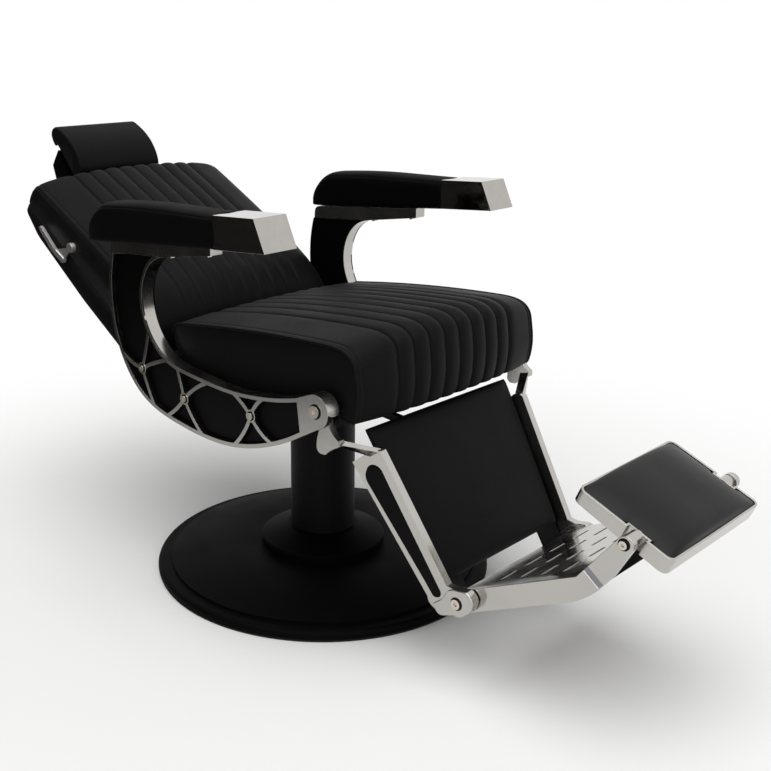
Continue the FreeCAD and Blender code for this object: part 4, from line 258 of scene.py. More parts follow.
PLY_GRAIN = 9.0 * MM
PLY_STRETCH = (0.15, 1.0, 1.0)
plywood, tree, shader, place = finish("stained_birch_plywood", "141210", Roughness=0.6,
                                      Specular_IOR_Level=0.2)
# Rotary cut birch under black stain: long wavy grain that only just shows.
stretched = add(tree, "ShaderNodeMapping", {"Vector": place, "Scale": PLY_STRETCH}).outputs[0]
grain = add(tree, "ShaderNodeTexNoise", {"Vector": stretched, "Scale": 1.0 / PLY_GRAIN, "Detail": 5.0,
                                         "Distortion": 0.6})
tone = add(tree, "ShaderNodeMix", {0: grain.outputs["Fac"], 6: linear("0c0b0a"), 7: linear("1e1a17")},
           data_type="RGBA")
bump = add(tree, "ShaderNodeBump", {"Height": grain.outputs["Fac"], "Strength": 0.2, "Distance": 0.2 * MM})
plug(tree, shader, {"Base Color": tone.outputs[2], "Normal": bump.outputs[0]})
dress(plywood, "seat_pan")


# Side frames
# Two sand cast aluminium frames, polished on their outer faces and painted black in the pockets between
# their curved ribs, with black moulded inlays and liners. Socket screws fix them to the carrier.
MERGE_WITHIN = 0.02
FLAT_WITHIN = math.radians(0.5)
SMOOTH_BELOW = math.radians(32)
ROLL_ABOVE = math.radians(38)
ROLL_STEPS = 3


def roll_edges(made, roll):
    """Bevel that rounds a piece's sharp edges to a radius in millimetres."""
    bevel = made.modifiers.new("rolled_edges", "BEVEL")
    bevel.width = roll * MM
    bevel.segments = ROLL_STEPS
    bevel.limit_method = "ANGLE"
    bevel.angle_limit = ROLL_ABOVE
    bevel.harden_normals = True
    return bevel


def rows(items, name):
    """An attribute of a mesh's points or faces as an array with three numbers to a row."""
    found = np.empty(len(items) * 3)
    items.foreach_get(name, found)
    return found.reshape(-1, 3)


def rounded(name, node, roll, material, body, second=None, where=None):
    """Copy of a CAD casting: doubles merged, flat faces made whole, and each sharp edge rolled to a
    radius in millimetres, as polishing leaves it. A second finish goes on the faces that where picks by
    their centres and normals."""
    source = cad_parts[node].data
    triangles = np.empty(len(source.loops), int)
    source.loops.foreach_get("vertex_index", triangles)
    made = shape(name, rows(source.vertices, "co") / MM, triangles.reshape(-1, 3).tolist(), material)
    work = bmesh.new()
    work.from_mesh(made.data)
    bmesh.ops.remove_doubles(work, verts=work.verts, dist=MERGE_WITHIN * MM)
    bmesh.ops.dissolve_limit(work, angle_limit=FLAT_WITHIN, verts=work.verts, edges=work.edges)
    work.to_mesh(made.data)
    work.free()
    faces = made.data.polygons
    faces.foreach_set("use_smooth", np.ones(len(faces), bool))
    made.data.set_sharp_from_angle(angle=SMOOTH_BELOW)
    bevel = roll_edges(made, roll)
    if second:
        made.data.materials.append(second)
        picked = where(rows(faces, "center") / MM, rows(faces, "normal"))
        faces.foreach_set("material_index", picked.astype(int))
        bevel.material = 0
    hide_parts(node)
    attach(made, body)


POLISH_WAVE = 14.0 * MM
POLISH_CLOUD = 55.0 * MM
SCRATCH = 1.8 * MM
SCRATCH_STRETCH = (0.06, 1.0, 1.0)
cast_aluminium, tree, shader, place = finish("polished_cast_aluminium", "bbb8b4", Metallic=1.0,
                                             Roughness=0.22)
# Mopped by hand: bright, but softly uneven in gloss, with a slight ripple and fine drawn scratches.
ripple = add(tree, "ShaderNodeTexNoise", {"Vector": place, "Scale": 1.0 / POLISH_WAVE, "Detail": 2.0})
cloud = add(tree, "ShaderNodeTexNoise", {"Vector": place, "Scale": 1.0 / POLISH_CLOUD, "Detail": 4.0})
stretched = add(tree, "ShaderNodeMapping", {"Vector": place, "Scale": SCRATCH_STRETCH}).outputs[0]
scratch = add(tree, "ShaderNodeTexNoise", {"Vector": stretched, "Scale": 1.0 / SCRATCH, "Detail": 3.0})
gloss = add(tree, "ShaderNodeMapRange", {"Value": cloud.outputs["Fac"], **NOISE_SPAN,
                                         "To Min": 0.13, "To Max": 0.27})
tone = add(tree, "ShaderNodeMix", {0: cloud.outputs["Fac"], 6: linear("b2afaa"), 7: linear("c3c0bb")},
           data_type="RGBA")
wave = add(tree, "ShaderNodeBump", {"Height": ripple.outputs["Fac"], "Strength": 0.1, "Distance": 0.6 * MM})
bump = add(tree, "ShaderNodeBump", {"Height": scratch.outputs["Fac"], "Strength": 0.012,
                                    "Distance": 0.1 * MM, "Normal": wave.outputs[0]})
plug(tree, shader, {"Base Color": tone.outputs[2], "Roughness": gloss.outputs[0], "Normal": bump.outputs[0]})

FRAME_ROLL = 1.2
POCKET_SIDE = 289.5
SIDES = {"right": -1.0, "left": 1.0}


def in_pocket(spot, way):
    """Faces of the painted pockets: the walls round the ribs, farther out than the pockets' floor."""
    return (np.abs(way[:, 1]) < 0.5) & (np.abs(spot[:, 1]) > POCKET_SIDE)


for side in SIDES:
    rounded("side_casting_" + side, "side_frame_" + side, FRAME_ROLL, cast_aluminium, "seat",
            second=black_paint, where=in_pocket)

PLASTIC_GRAIN = 1.5 * MM
moulded_plastic, tree, shader, place = finish("moulded_black_plastic", "040404", Roughness=0.42,
                                              Specular_IOR_Level=0.06)
# Injection moulded with a fine leather-like grain that takes the mirror off its gloss.
grain = add(tree, "ShaderNodeTexVoronoi", {"Vector": place, "Scale": 1.0 / PLASTIC_GRAIN})
bump = add(tree, "ShaderNodeBump", {"Height": grain.outputs["Distance"], "Strength": 0.15,
                                    "Distance": 0.2 * MM})
tone = add(tree, "ShaderNodeMix", {0: grain.outputs["Distance"], 6: linear("030303"), 7: linear("060606")},
           data_type="RGBA")
plug(tree, shader, {"Base Color": tone.outputs[2], "Normal": bump.outputs[0]})
INLAY_ROLL = 1.3
for side in SIDES:
    rounded("side_panel_" + side, "side_inlay_" + side, INLAY_ROLL, moulded_plastic, "seat")
dress(moulded_plastic, "side_liner_right", "side_liner_left")

nickel, tree, shader, place = finish("nickel_plated_steel", "cfc8bc", Metallic=1.0, Roughness=0.2)
# Nickel on turned screw heads: a warm, slightly yellow bright metal.
cloud = add(tree, "ShaderNodeTexNoise", {"Vector": place, "Scale": 1.0 / STEEL_CLOUD, "Detail": 3.0})
gloss = add(tree, "ShaderNodeMapRange", {"Value": cloud.outputs["Fac"], "To Min": 0.14, "To Max": 0.28})
plug(tree, shader, {"Roughness": gloss.outputs[0]})
dress(nickel, "frame_bolts", "leg_pivot_bolts")


def closed(name, points, faces, material, body):
    """New piece that rides a body, with its normals turned outwards."""
    made = shape(name, points, faces, material)
    work = bmesh.new()
    work.from_mesh(made.data)
    bmesh.ops.recalc_face_normals(work, faces=work.faces)
    work.to_mesh(made.data)
    work.free()
    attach(made, body)
    return made


# The black rings round the bolts are painted shade, standing for the shade in each bolt's counterbore.
SHADE_RING_PROUD = 1.3
SHADE_RING_BEVEL = 0.7
SHADE_RING_SUNK = 0.4


def bolt_shade_rings(name, places, radii, face, body):
    """Black rings of painted shade round the bolts at (x, z) on both sides, for the shade in each bolt's
    counterbore: a ring between two radii, bevelled outside, turned about each bolt on the face at a
    distance from the middle plane."""
    inner, outer = radii
    turn = np.linspace(0, 2 * np.pi, 40, endpoint=False)[:, None]
    radius = np.array([inner, outer - SHADE_RING_BEVEL, outer, outer, inner])
    height = face + np.array([SHADE_RING_PROUD, SHADE_RING_PROUD, SHADE_RING_PROUD - SHADE_RING_BEVEL, -SHADE_RING_SUNK,
                              -SHADE_RING_SUNK])
    rings = np.stack([radius * np.cos(turn), 0 * turn + height, radius * np.sin(turn)], -1)
    spots = np.array([(x, 0.0, z) for x, z in places])[:, None, None]
    points = np.concatenate([spots + rings * (1, -1, 1), spots + rings])
    here = np.arange(points.size // 3).reshape(points.shape[:3])
    ahead = np.roll(here, -1, axis=1)
    faces = np.stack([here, ahead, np.roll(ahead, -1, axis=2), np.roll(here, -1, axis=2)], -1).reshape(-1, 4)
    closed(name, points, faces.tolist(), black_paint, body)


FRAME_FACE = 298.0
FRAME_BOLTS = ((-208.0, 448.0), (-79.0, 414.5), (109.5, 426.0))
FRAME_SHADE_RING = (7.2, 8.8)
LEG_PIVOT = (273.0, 474.0)
LEG_PIVOT_SHADE_RING = (11.2, 13.5)
# Painted shade round the frame bolts and the leg pivot, as black rings.
bolt_shade_rings("frame_bolt_shade_rings", FRAME_BOLTS, FRAME_SHADE_RING, FRAME_FACE, "seat")
bolt_shade_rings("leg_pivot_shade_rings", [LEG_PIVOT], LEG_PIVOT_SHADE_RING, FRAME_FACE, "seat")


# Seat cushion
# Moulded foam in black leather cloth: eight sewn channels run over the top and down the nose, plain
# borders lie each side, and a corded welt joins them to the side panels.
def dot(along, across):
    """Pairs of coordinates, one for each station, from numbers or arrays."""
    return np.stack(np.broadcast_arrays(np.atleast_1d(along), np.atleast_1d(across)), -1)


def run(start, end, count):
    """Straight stretch at every station: count points from start on, without the end."""
    share = (np.arange(count) / count)[None, :, None]
    return start[:, None] + share * (end - start)[:, None]


def bow(start, middle, end, count):
    """Parabola at every station that starts at start and passes its middle half way, without the end."""
    share = (np.arange(count) / count)[None, :, None]
    pull = (2 * middle - (start + end) / 2)[:, None]
    return (1 - share) ** 2 * start[:, None] + 2 * share * (1 - share) * pull + share ** 2 * end[:, None]


def eased(rings, passes):
    """Rings whose points are drawn towards the middle of their two neighbours, once for each pass."""
    for _ in range(passes):
        rings = 0.5 * rings + 0.25 * (np.roll(rings, 1, axis=1) + np.roll(rings, -1, axis=1))
    return rings


def skin(name, rings, material, body):
    """Closed piece through rings of points (station, around, xyz): quads from ring to ring, one face on
    each end, and normals turned outwards."""
    stations, around = rings.shape[:2]
    here = np.arange(stations * around).reshape(stations, around)
    beside = np.roll(here, -1, axis=1)
    quads = np.stack([here[:-1], beside[:-1], beside[1:], here[1:]], axis=-1).reshape(-1, 4)
    ends = [here[0, ::-1].tolist(), here[-1].tolist()]
    return closed(name, rings, quads.tolist() + ends, material, body)


def cord_along(name, line, radius, material, body):
    """Round cord along an open line of points: a ring of ten points square to the line at each point."""
    ahead = np.gradient(line, axis=0)
    ahead /= np.linalg.norm(ahead, axis=1, keepdims=True)
    side = np.cross(ahead, [0.0, 1.0, 0.0])
    side /= np.linalg.norm(side, axis=1, keepdims=True)
    up = np.cross(side, ahead)
    turn = np.linspace(0, 2 * np.pi, 10, endpoint=False)[None, :, None]
    rings = line[:, None] + radius * (np.cos(turn) * side[:, None] + np.sin(turn) * up[:, None])
    skin(name, rings, material, body)


def quarter_round(side, radius, count):
    """Stations round a rolled edge up to a side: how far out each lies, and how far it is drawn in, by the
    sine and cosine of a quarter turn."""
    turn = np.radians(np.linspace(0, 90, count))
    return side - radius * (1 - np.sin(turn)), radius * (1 - np.cos(turn))


CUSHION_HALF = 250.0
CHANNEL_WIDTH = 40.0
CHANNEL_FIELD = 160.0
CHANNEL_DEPTH = 4.8
CHANNEL_SHARES = np.array([0.0, 0.045, 0.1, 0.18, 0.28, 0.39, 0.5, 0.61, 0.72, 0.82, 0.9, 0.955])
CREASE_DEPTH = 2.8
CREASE_WIDTH = 2.0
BORDER_STATIONS = np.array([161.8, 164.0, 168.0, 174.0, 182.0, 192.0, 204.0, 216.0, 227.0, 235.0, 238.0,
                            239.8, 241.0, 242.2, 244.0])
EDGE_SIDE = 255.0
EDGE_ROLL = 8.0
SIDE_SEAM_DEPTH = 1.4
SIDE_SEAM_WIDTH = 1.5


def across(panel, panel_drawn, seams):
    """Stations across a channelled cushion: y, how far each section is drawn in at the sides, and the
    dip of its seams. A channel is deepest at its seam and falls off by a power of 2.5; a crease follows a
    bell curve, and so do the seams near the sides. The side panels go on from the rolled edge by the steps
    given."""
    starts = np.arange(-CHANNEL_FIELD, CHANNEL_FIELD, CHANNEL_WIDTH)
    field = np.append((starts[:, None] + CHANNEL_SHARES * CHANNEL_WIDTH).ravel(), CHANNEL_FIELD)
    edge, edge_drawn = quarter_round(EDGE_SIDE, EDGE_ROLL, 9)
    outer = np.concatenate([BORDER_STATIONS, edge, EDGE_SIDE + np.array(panel)])
    drawn = np.concatenate([0 * BORDER_STATIONS, edge_drawn, EDGE_ROLL + np.array(panel_drawn)])
    y = np.concatenate([-outer[::-1], field, outer])
    inset = np.concatenate([drawn[::-1], 0 * field, drawn])
    from_seam = np.abs((y + CHANNEL_FIELD) / CHANNEL_WIDTH % 1.0)
    from_seam = np.minimum(from_seam, 1 - from_seam) * CHANNEL_WIDTH
    from_seam = np.where(np.abs(y) > CHANNEL_FIELD, np.abs(y) - CHANNEL_FIELD, from_seam)
    dip = CHANNEL_DEPTH * np.clip(1 - from_seam / (CHANNEL_WIDTH / 2), 0, 1) ** 2.5
    dip += CREASE_DEPTH * np.exp(-(from_seam / CREASE_WIDTH) ** 2)
    from_side_seam = np.abs(np.abs(y)[:, None] - np.array(seams)).min(axis=1)
    return y, inset, dip + SIDE_SEAM_DEPTH * np.exp(-(from_side_seam / SIDE_SEAM_WIDTH) ** 2)


LEATHER_GRAIN = 2.6 * MM
LEATHER_PORE = 0.9 * MM
LEATHER_CLOUD = 120.0 * MM
LEATHER_SLACK = 42.0 * MM


def leather_cloth(name, light, dark, gloss_range, specular):
    """Embossed vinyl leather between two tones, with a range of roughness and a share of surface shine."""
    material, tree, shader, place = finish(name, light, Specular_IOR_Level=specular, Sheen_Weight=0.01,
                                           Sheen_Roughness=0.45)
    # Near black, with a soft wide sheen and a pebble grain. The real grain of about a millimetre is drawn at
    # 2.6 mm so that it still shows from a step away; slow waves show slack cloth.
    pebble = add(tree, "ShaderNodeTexVoronoi", {"Vector": place, "Scale": 1.0 / LEATHER_GRAIN})
    pore = add(tree, "ShaderNodeTexNoise", {"Vector": place, "Scale": 1.0 / LEATHER_PORE, "Detail": 2.0})
    cloud = add(tree, "ShaderNodeTexNoise", {"Vector": place, "Scale": 1.0 / LEATHER_CLOUD, "Detail": 3.0})
    gloss = add(tree, "ShaderNodeMapRange", {"Value": cloud.outputs["Fac"], **NOISE_SPAN,
                                             "To Min": gloss_range[0], "To Max": gloss_range[1]})
    tone = add(tree, "ShaderNodeMix", {0: pebble.outputs["Distance"], 6: linear(light), 7: linear(dark)},
               data_type="RGBA")
    slack = add(tree, "ShaderNodeTexNoise", {"Vector": place, "Scale": 1.0 / LEATHER_SLACK, "Detail": 1.0})
    loose = add(tree, "ShaderNodeBump", {"Height": slack.outputs["Fac"], "Strength": 0.25,
                                         "Distance": 2.0 * MM})
    fine = add(tree, "ShaderNodeBump", {"Height": pore.outputs["Fac"], "Strength": 0.08, "Distance": 0.1 * MM,
                                        "Normal": loose.outputs[0]})
    bump = add(tree, "ShaderNodeBump", {"Height": pebble.outputs["Distance"], "Strength": 0.16,
                                        "Distance": 0.25 * MM, "Normal": fine.outputs[0]}, invert=True)
    plug(tree, shader, {"Base Color": tone.outputs[2], "Roughness": gloss.outputs[0],
                        "Normal": bump.outputs[0]})
    return material


leather = leather_cloth("black_leather_cloth", "0c0c0e", "070708", (0.5, 0.6), 0.08)
SEAT_CROWN = 26.0
SEAT_BOTTOM = 450.3
SEAT_FRONT = 322.0
SEAT_FRONT_BOTTOM = 448.0
SEAT_TOE = 32.0
SEAT_NOSE_BULGE = 22.0
SEAT_NOSE_LEAN = 4.0
SEAT_NOSE_BOW = 9.0
SEAT_CORNER = 42.0
SEAT_CORNER_REACH = 1.3
SEAT_CORNER_CUT = 0.24
SEAT_TOP_FRONT = 580.0
SEAT_TOP_REAR = 545.0
SEAT_TOP_MIDDLE = 70.0
SEAT_TOP_BOW = 6.0
SEAT_REAR_CROWN = 0.6
SEAT_REAR_BOTTOM = -146.0
SEAT_REAR_TOP = -163.0
SEAT_REAR_HOLLOW = 18.0
SEAT_REAR_ROLL = (30.0, 24.0)
SEAT_REAR_BEND = (8.0, 6.0)


def crown_of(y):
    """Share of the full crown: one in the middle, falling to nothing at the sides by a power of 2.4."""
    return np.clip(1 - np.abs(y / CUSHION_HALF) ** 2.4, 0, 1)


def seat_rings(y, inset, dip):
    """Section of the seat at every station: flat bottom, bowed nose, rounded front edge, and a top that falls
    to a rolled and hollowed rear. The crown lifts it, the inset and the seams draw it in."""
    rise = SEAT_CROWN * crown_of(y) - dip - inset
    nose = SEAT_FRONT + SEAT_NOSE_BULGE * crown_of(y) - dip - inset
    top = SEAT_TOP_FRONT + rise
    hollow = SEAT_REAR_HOLLOW * crown_of(y)
    rear_top = SEAT_REAR_TOP + hollow + inset
    rear_z = SEAT_TOP_REAR + SEAT_REAR_CROWN * rise
    heel = dot(SEAT_REAR_BOTTOM + hollow + inset, SEAT_BOTTOM + inset)
    toe = dot(SEAT_FRONT - SEAT_TOE, SEAT_BOTTOM + inset)
    chin = dot(nose, SEAT_FRONT_BOTTOM + inset)
    brow = dot(nose + SEAT_NOSE_LEAN, top - SEAT_CORNER)
    nose_mid = dot(nose + SEAT_NOSE_BOW, (SEAT_FRONT_BOTTOM + top - SEAT_CORNER) / 2)
    front = dot(nose - SEAT_CORNER_REACH * SEAT_CORNER, top)
    corner = dot(nose - SEAT_CORNER_CUT * SEAT_CORNER, top - SEAT_CORNER_CUT * SEAT_CORNER)
    back = dot(rear_top + SEAT_REAR_ROLL[0], rear_z)
    top_mid = dot(SEAT_TOP_MIDDLE, (top + rear_z) / 2 + SEAT_TOP_BOW)
    tail = dot(rear_top, rear_z - SEAT_REAR_ROLL[1])
    roll_mid = dot(rear_top + SEAT_REAR_BEND[0], rear_z - SEAT_REAR_BEND[1])
    rings = np.concatenate([run(heel, toe, 44), run(toe, chin, 6), bow(chin, nose_mid, brow, 14),
                            bow(brow, corner, front, 12), bow(front, top_mid, back, 58),
                            bow(back, roll_mid, tail, 7), run(tail, heel, 12)], axis=1)
    rings = eased(rings, 3)
    sides = np.broadcast_to(y[:, None], rings.shape[:2])
    return np.stack([rings[..., 0], sides, rings[..., 1]], -1)


SEAT_PANEL = (1.4, 2.4, 3.4, 4.0)
SEAT_PANEL_DRAWN = (4.0, 10.0, 20.0, 32.0)
SEAT_SEAMS = (241.0,)
WELT_RADIUS = 2.8
WELT_INSIDE = 1.2
WELT_DRAWN = 1.6
# The welt follows the section's points from the chin over the top to the tail.
WELT_POINTS = slice(50, 142)
seat = skin("seat_upholstery", seat_rings(*across(SEAT_PANEL, SEAT_PANEL_DRAWN, SEAT_SEAMS)), leather, "seat")
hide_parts("seat_cushion")
for side, sign in SIDES.items():
    welt_y = np.array([sign * (EDGE_SIDE - WELT_INSIDE)])
    welt = seat_rings(welt_y, np.array([WELT_DRAWN]), np.zeros(1))[0, WELT_POINTS]
    cord_along("seat_welt_" + side, welt, WELT_RADIUS, leather, "seat")


# Arm rests
# A cast support on each frame carries a foam pad in the same leather cloth and, on a tongue let into the
# pad, a chromed block in front. Two screws from below hold each pad.
ARM_SUPPORT_ROLL = 1.0
for side in SIDES:
    rounded("arm_bracket_" + side, "arm_support_" + side, ARM_SUPPORT_ROLL, cast_aluminium, "seat")
dress(nickel, "arm_screws")

CHROME_CLOUD = 24.0 * MM
chrome, tree, shader, place = finish("chromed_zinc", "b6b3ae", Metallic=1.0, Roughness=0.08)
# Bright chrome on a die cast block: a clear mirror with faint hand marks that dull it in patches.
cloud = add(tree, "ShaderNodeTexNoise", {"Vector": place, "Scale": 1.0 / CHROME_CLOUD, "Detail": 4.0})
gloss = add(tree, "ShaderNodeMapRange", {"Value": cloud.outputs["Fac"], "From Min": 0.4, "From Max": 0.75,
                                         "To Min": 0.05, "To Max": 0.2})
tone = add(tree, "ShaderNodeMix", {0: cloud.outputs["Fac"], 6: linear("bab7b2"), 7: linear("aca8a2")},
           data_type="RGBA")
plug(tree, shader, {"Base Color": tone.outputs[2], "Roughness": gloss.outputs[0]})
BLOCK_ROLL = 1.2
for side in SIDES:
    rounded("arm_end_" + side, "arm_block_" + side, BLOCK_ROLL, chrome, "seat")

ARM_REAR = -304.0
ARM_FRONT = 76.0
ARM_MIDDLE = 307.75
ARM_HALF = 39.25
ARM_UNDER = 722.3
ARM_SLOPE = 0.09
ARM_TAIL = 60.0
ARM_STRAIGHT = -240.0
ARM_ROUND = 58.0
ARM_REAR_LIFT = 2.0
ARM_REAR_DROP = 20.0
ARM_REAR_HEIGHT = 0.3
ARM_REAR_WIDTH = 0.72
ARM_TOP = 787.6
ARM_TOP_BEND = -60.0
ARM_TOP_RISE = 2.4
ARM_TOP_FALL = 14.0
ARM_FALL_LENGTH = 240.0
ARM_CROWN = 3.5
ARM_SQUARE = 5.0
ARM_UNDER_SQUARE = 9.0
ARM_SEAM = 0.9
ARM_SEAM_WIDTH = 0.03
ARM_SEAM_DRAWN = 0.02
ARM_SEAM_DEPTH = 0.6


def arm_rings(sign):
    """Rounded pad: superellipse sections along x, squarer below than above, with a crown on top. The top
    rises evenly to the front and falls by a square behind its bend, and the section closes in at the rear
    as a quarter round does."""
    tail = ARM_REAR + ARM_TAIL * np.linspace(0, 1, 16) ** 1.7
    x = np.concatenate([tail, np.linspace(ARM_STRAIGHT, ARM_FRONT, 46)])
    back = np.clip((x - ARM_REAR) / ARM_ROUND, 0, 1)
    close = np.sqrt(1 - (1 - back) ** 2.6)
    under = ARM_UNDER + ARM_SLOPE * x + ARM_REAR_LIFT * (1 - close)
    top = ARM_TOP + ARM_TOP_RISE * (x - ARM_TOP_BEND) / (ARM_FRONT - ARM_TOP_BEND)
    top -= ARM_REAR_DROP * (1 - back) ** 1.4
    top -= ARM_TOP_FALL * np.clip((ARM_TOP_BEND - x) / ARM_FALL_LENGTH, 0, 1) ** 2
    thick = ((top - under) * (ARM_REAR_HEIGHT + (1 - ARM_REAR_HEIGHT) * close))[:, None]
    half = ARM_HALF * (ARM_REAR_WIDTH + (1 - ARM_REAR_WIDTH) * close)
    turn = np.linspace(0, 2 * np.pi, 96, endpoint=False)
    c, s = np.cos(turn), np.sin(turn)
    square = np.where(s < 0, ARM_UNDER_SQUARE, ARM_SQUARE)
    wide = np.sign(c) * np.abs(c) ** (2 / square)
    high = np.sign(s) * np.abs(s) ** (2 / square)
    seam = np.exp(-((np.abs(wide) - ARM_SEAM) / ARM_SEAM_WIDTH) ** 2) * (high > 0.8)
    y = half[:, None] * wide * (1 - ARM_SEAM_DRAWN * seam)
    sunk = (ARM_CROWN * wide ** 2 + ARM_SEAM_DEPTH * seam) * (high > 0)
    z = under[:, None] + thick * (1 + high) / 2 - sunk
    return np.stack([np.broadcast_to(x[:, None], y.shape), sign * ARM_MIDDLE + y, z], -1)


# The arms' cloth is handled most, so its emboss is dulled. Its darker tone is painted shade: a shaded copy of
# the cushions' leather that keeps the pads' tops dim.
arm_shaded_leather = leather_cloth("handled_and_shaded_leather_cloth", "070708", "040405", (0.58, 0.68), 0.03)
for side, sign in SIDES.items():
    pad = skin("arm_upholstery_" + side, arm_rings(sign), arm_shaded_leather, "seat")
    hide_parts("arm_pad_" + side)


# Back rest
# The channelled back cushion lies on a steel plate that turns on the recline shaft. Its side panels start
# at a double stitched seam, and a leather covered shell closes the rear flush with them.
BACK_PIVOT = (-208.0, 448.0)
BACK_SLOPE = math.radians(28.1)
PLATE_FOOT = -12.0
PLATE_RISE = 46.0
PLATE_GAP = 0.3
BACK_CROWN = 22.0
BACK_FACE = 88.0
BACK_TOP = 508.0
BACK_OVERHANG = 10.0
BACK_FOOT = 25.2
BACK_SIDE_ROLL = 24.0
BACK_ROLL_START = 205.0
BACK_LUMBAR_ROLL = 1.6
BACK_HEAD_ROLL = 0.5
BACK_BROW = 6.0
BACK_BROW_DROP = 16.0
BACK_CREST = 3.0
BACK_SHOULDER = (22.0, 1.0)
BACK_CORNER = (4.5, 3.5)
BACK_MIDDLE_BOW = 5.0
BACK_LUMBAR = 122.0
BACK_TOE_BEND = (60.0, 62.0)
BACK_TOE = (24.0, 18.0)


def in_back(y, rings):
    """Rings of (along, forward) pairs, measured up the reclined back and forward of it from the recline
    shaft, set in the chair with y the same round each ring."""
    along, forward = rings[..., 0], rings[..., 1]
    x = BACK_PIVOT[0] - along * math.cos(BACK_SLOPE) + forward * math.sin(BACK_SLOPE)
    z = BACK_PIVOT[1] + along * math.sin(BACK_SLOPE) + forward * math.cos(BACK_SLOPE)
    return np.stack([x, np.broadcast_to(y[:, None], x.shape), z], -1)


def plate_face(along):
    """How far forward the front of the steel plate lies: a straight rise from foot to top."""
    return PLATE_FOOT + PLATE_RISE * along / BACK_TOP


def back_rings(y, inset, dip):
    """Section of the back at every station: flat rear on the plate, crowned front, rounded foot. The front
    rolls back to the sides by a quarter ellipse, and the side panels lie flat to the shell."""
    share = np.clip((np.abs(y) - BACK_ROLL_START) / (EDGE_SIDE - BACK_ROLL_START), 0, 1)
    roll = BACK_SIDE_ROLL * (1 - np.sqrt(1 - share ** 2))
    swell = BACK_CROWN * crown_of(y) - dip - inset
    front = BACK_FACE + swell - BACK_HEAD_ROLL * roll
    top = BACK_TOP + BACK_OVERHANG + 0.1 * swell - 0.3 * inset
    foot = dot(BACK_FOOT + 0.3 * inset, plate_face(BACK_FOOT) + PLATE_GAP)
    head = dot(top, plate_face(top) + PLATE_GAP)
    brow = dot(top + 1.0, np.maximum(front - BACK_BROW_DROP, head[:, 1] + BACK_BROW))
    crest = dot(top + BACK_CREST, (head[:, 1] + brow[:, 1]) / 2)
    shoulder = dot(top - BACK_SHOULDER[0], front + BACK_SHOULDER[1])
    corner = dot(top - BACK_CORNER[0], front - BACK_CORNER[1])
    middle = dot(BACK_TOP / 2, BACK_FACE + BACK_MIDDLE_BOW + swell - roll)
    lumbar = dot(BACK_LUMBAR, BACK_FACE + 0.8 * swell - BACK_LUMBAR_ROLL * roll)
    toe_mid = dot(BACK_TOE_BEND[0] + 0.3 * inset, BACK_TOE_BEND[1] + 0.6 * swell - roll)
    toe = dot(BACK_TOE[0] + 0.4 * (inset + dip), BACK_TOE[1])
    rings = np.concatenate([run(foot, head, 48), bow(head, crest, brow, 8), bow(brow, corner, shoulder, 8),
                            bow(shoulder, middle, lumbar, 52), bow(lumbar, toe_mid, toe, 28),
                            run(toe, foot, 8)], axis=1)
    return in_back(y, eased(rings, 2))


BACK_PANEL = (0.5, 0.9, 1.2, 1.4)
BACK_PANEL_DRAWN = (1.0, 2.0, 3.0, 4.0)
BACK_SEAMS = (242.0, 251.4)
back = skin("back_upholstery", back_rings(*across(BACK_PANEL, BACK_PANEL_DRAWN, BACK_SEAMS)), leather, "back")
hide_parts("back_cushion")
dress(black_paint, "back_frame")

SHELL_HALF = 255.5
SHELL_ROLL = 5.0
SHELL_MIDDLE = np.linspace(-200, 200, 21)
SHELL_STEP = (216.0, 216.5)
SHELL_LAP = 0.4
SHELL_BEHIND = 6.2
SHELL_FOOT = 21.0
SHELL_HEAD = 517.0
SHELL_CREST = (521.0, 25.5)
SHELL_BRINK = (523.0, 11.0)
SHELL_BEVEL = (462.0, -17.0)
SHELL_WAIST = (267.0, -45.0)
SHELL_HEEL = (15.0, -66.0)
SHELL_SOLE = (21.0, -52.0)


def shell_rings():
    """Section of the shell at every station: its front lies behind the plate and, outside the plate's step,
    against the cushion; the rear is three straight stretches. Its sides are rolled by a quarter round."""
    edge, edge_drawn = quarter_round(SHELL_HALF, SHELL_ROLL, 7)
    outer = np.concatenate([SHELL_STEP, edge])
    drawn = np.concatenate([np.zeros(2), edge_drawn])
    y = np.concatenate([-outer[::-1], SHELL_MIDDLE, outer])
    inset = np.concatenate([drawn[::-1], 0 * SHELL_MIDDLE, drawn])
    behind = np.where(np.abs(y) > np.mean(SHELL_STEP), SHELL_LAP, SHELL_BEHIND)
    low = dot(SHELL_FOOT, plate_face(SHELL_FOOT) - behind)
    high = dot(SHELL_HEAD, plate_face(SHELL_HEAD) - behind)
    crest = dot(SHELL_CREST[0] - inset, SHELL_CREST[1])
    brink = dot(SHELL_BRINK[0] - inset, SHELL_BRINK[1])
    bevel, waist, heel = [dot(along, forward + inset)
                          for along, forward in (SHELL_BEVEL, SHELL_WAIST, SHELL_HEEL)]
    sole = dot(*SHELL_SOLE)
    rings = np.concatenate([run(low, high, 50), bow(high, crest, brink, 8), run(brink, bevel, 10),
                            run(bevel, waist, 24), run(waist, heel, 30), run(heel, sole, 4),
                            run(sole, low, 6)], axis=1)
    return in_back(y, eased(rings, 2))


shell = skin("back_cover", shell_rings(), leather, "back")
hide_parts("back_shell")


# Head rest
# A foam pad in leather cloth, sewn near its ends, on a painted hinge plate that turns in a moulded housing.
# The housing is pressed on a flat chromed post, which slides in a guide on the back rest.
HEAD_HALF = 111.0
HEAD_EDGE = 6.0
HEAD_MIDDLE = np.linspace(-94, 94, 31)
HEAD_SEAM_STATIONS = np.array([97.0, 98.6, 99.6, 100.6, 101.6, 102.6])
HEAD_SEAM = 100.6
HEAD_SEAM_DEPTH = 1.3
HEAD_FOOT = (576.0, 56.0)
HEAD_TOP = (654.0, 84.0)
HEAD_THICK = 31.0
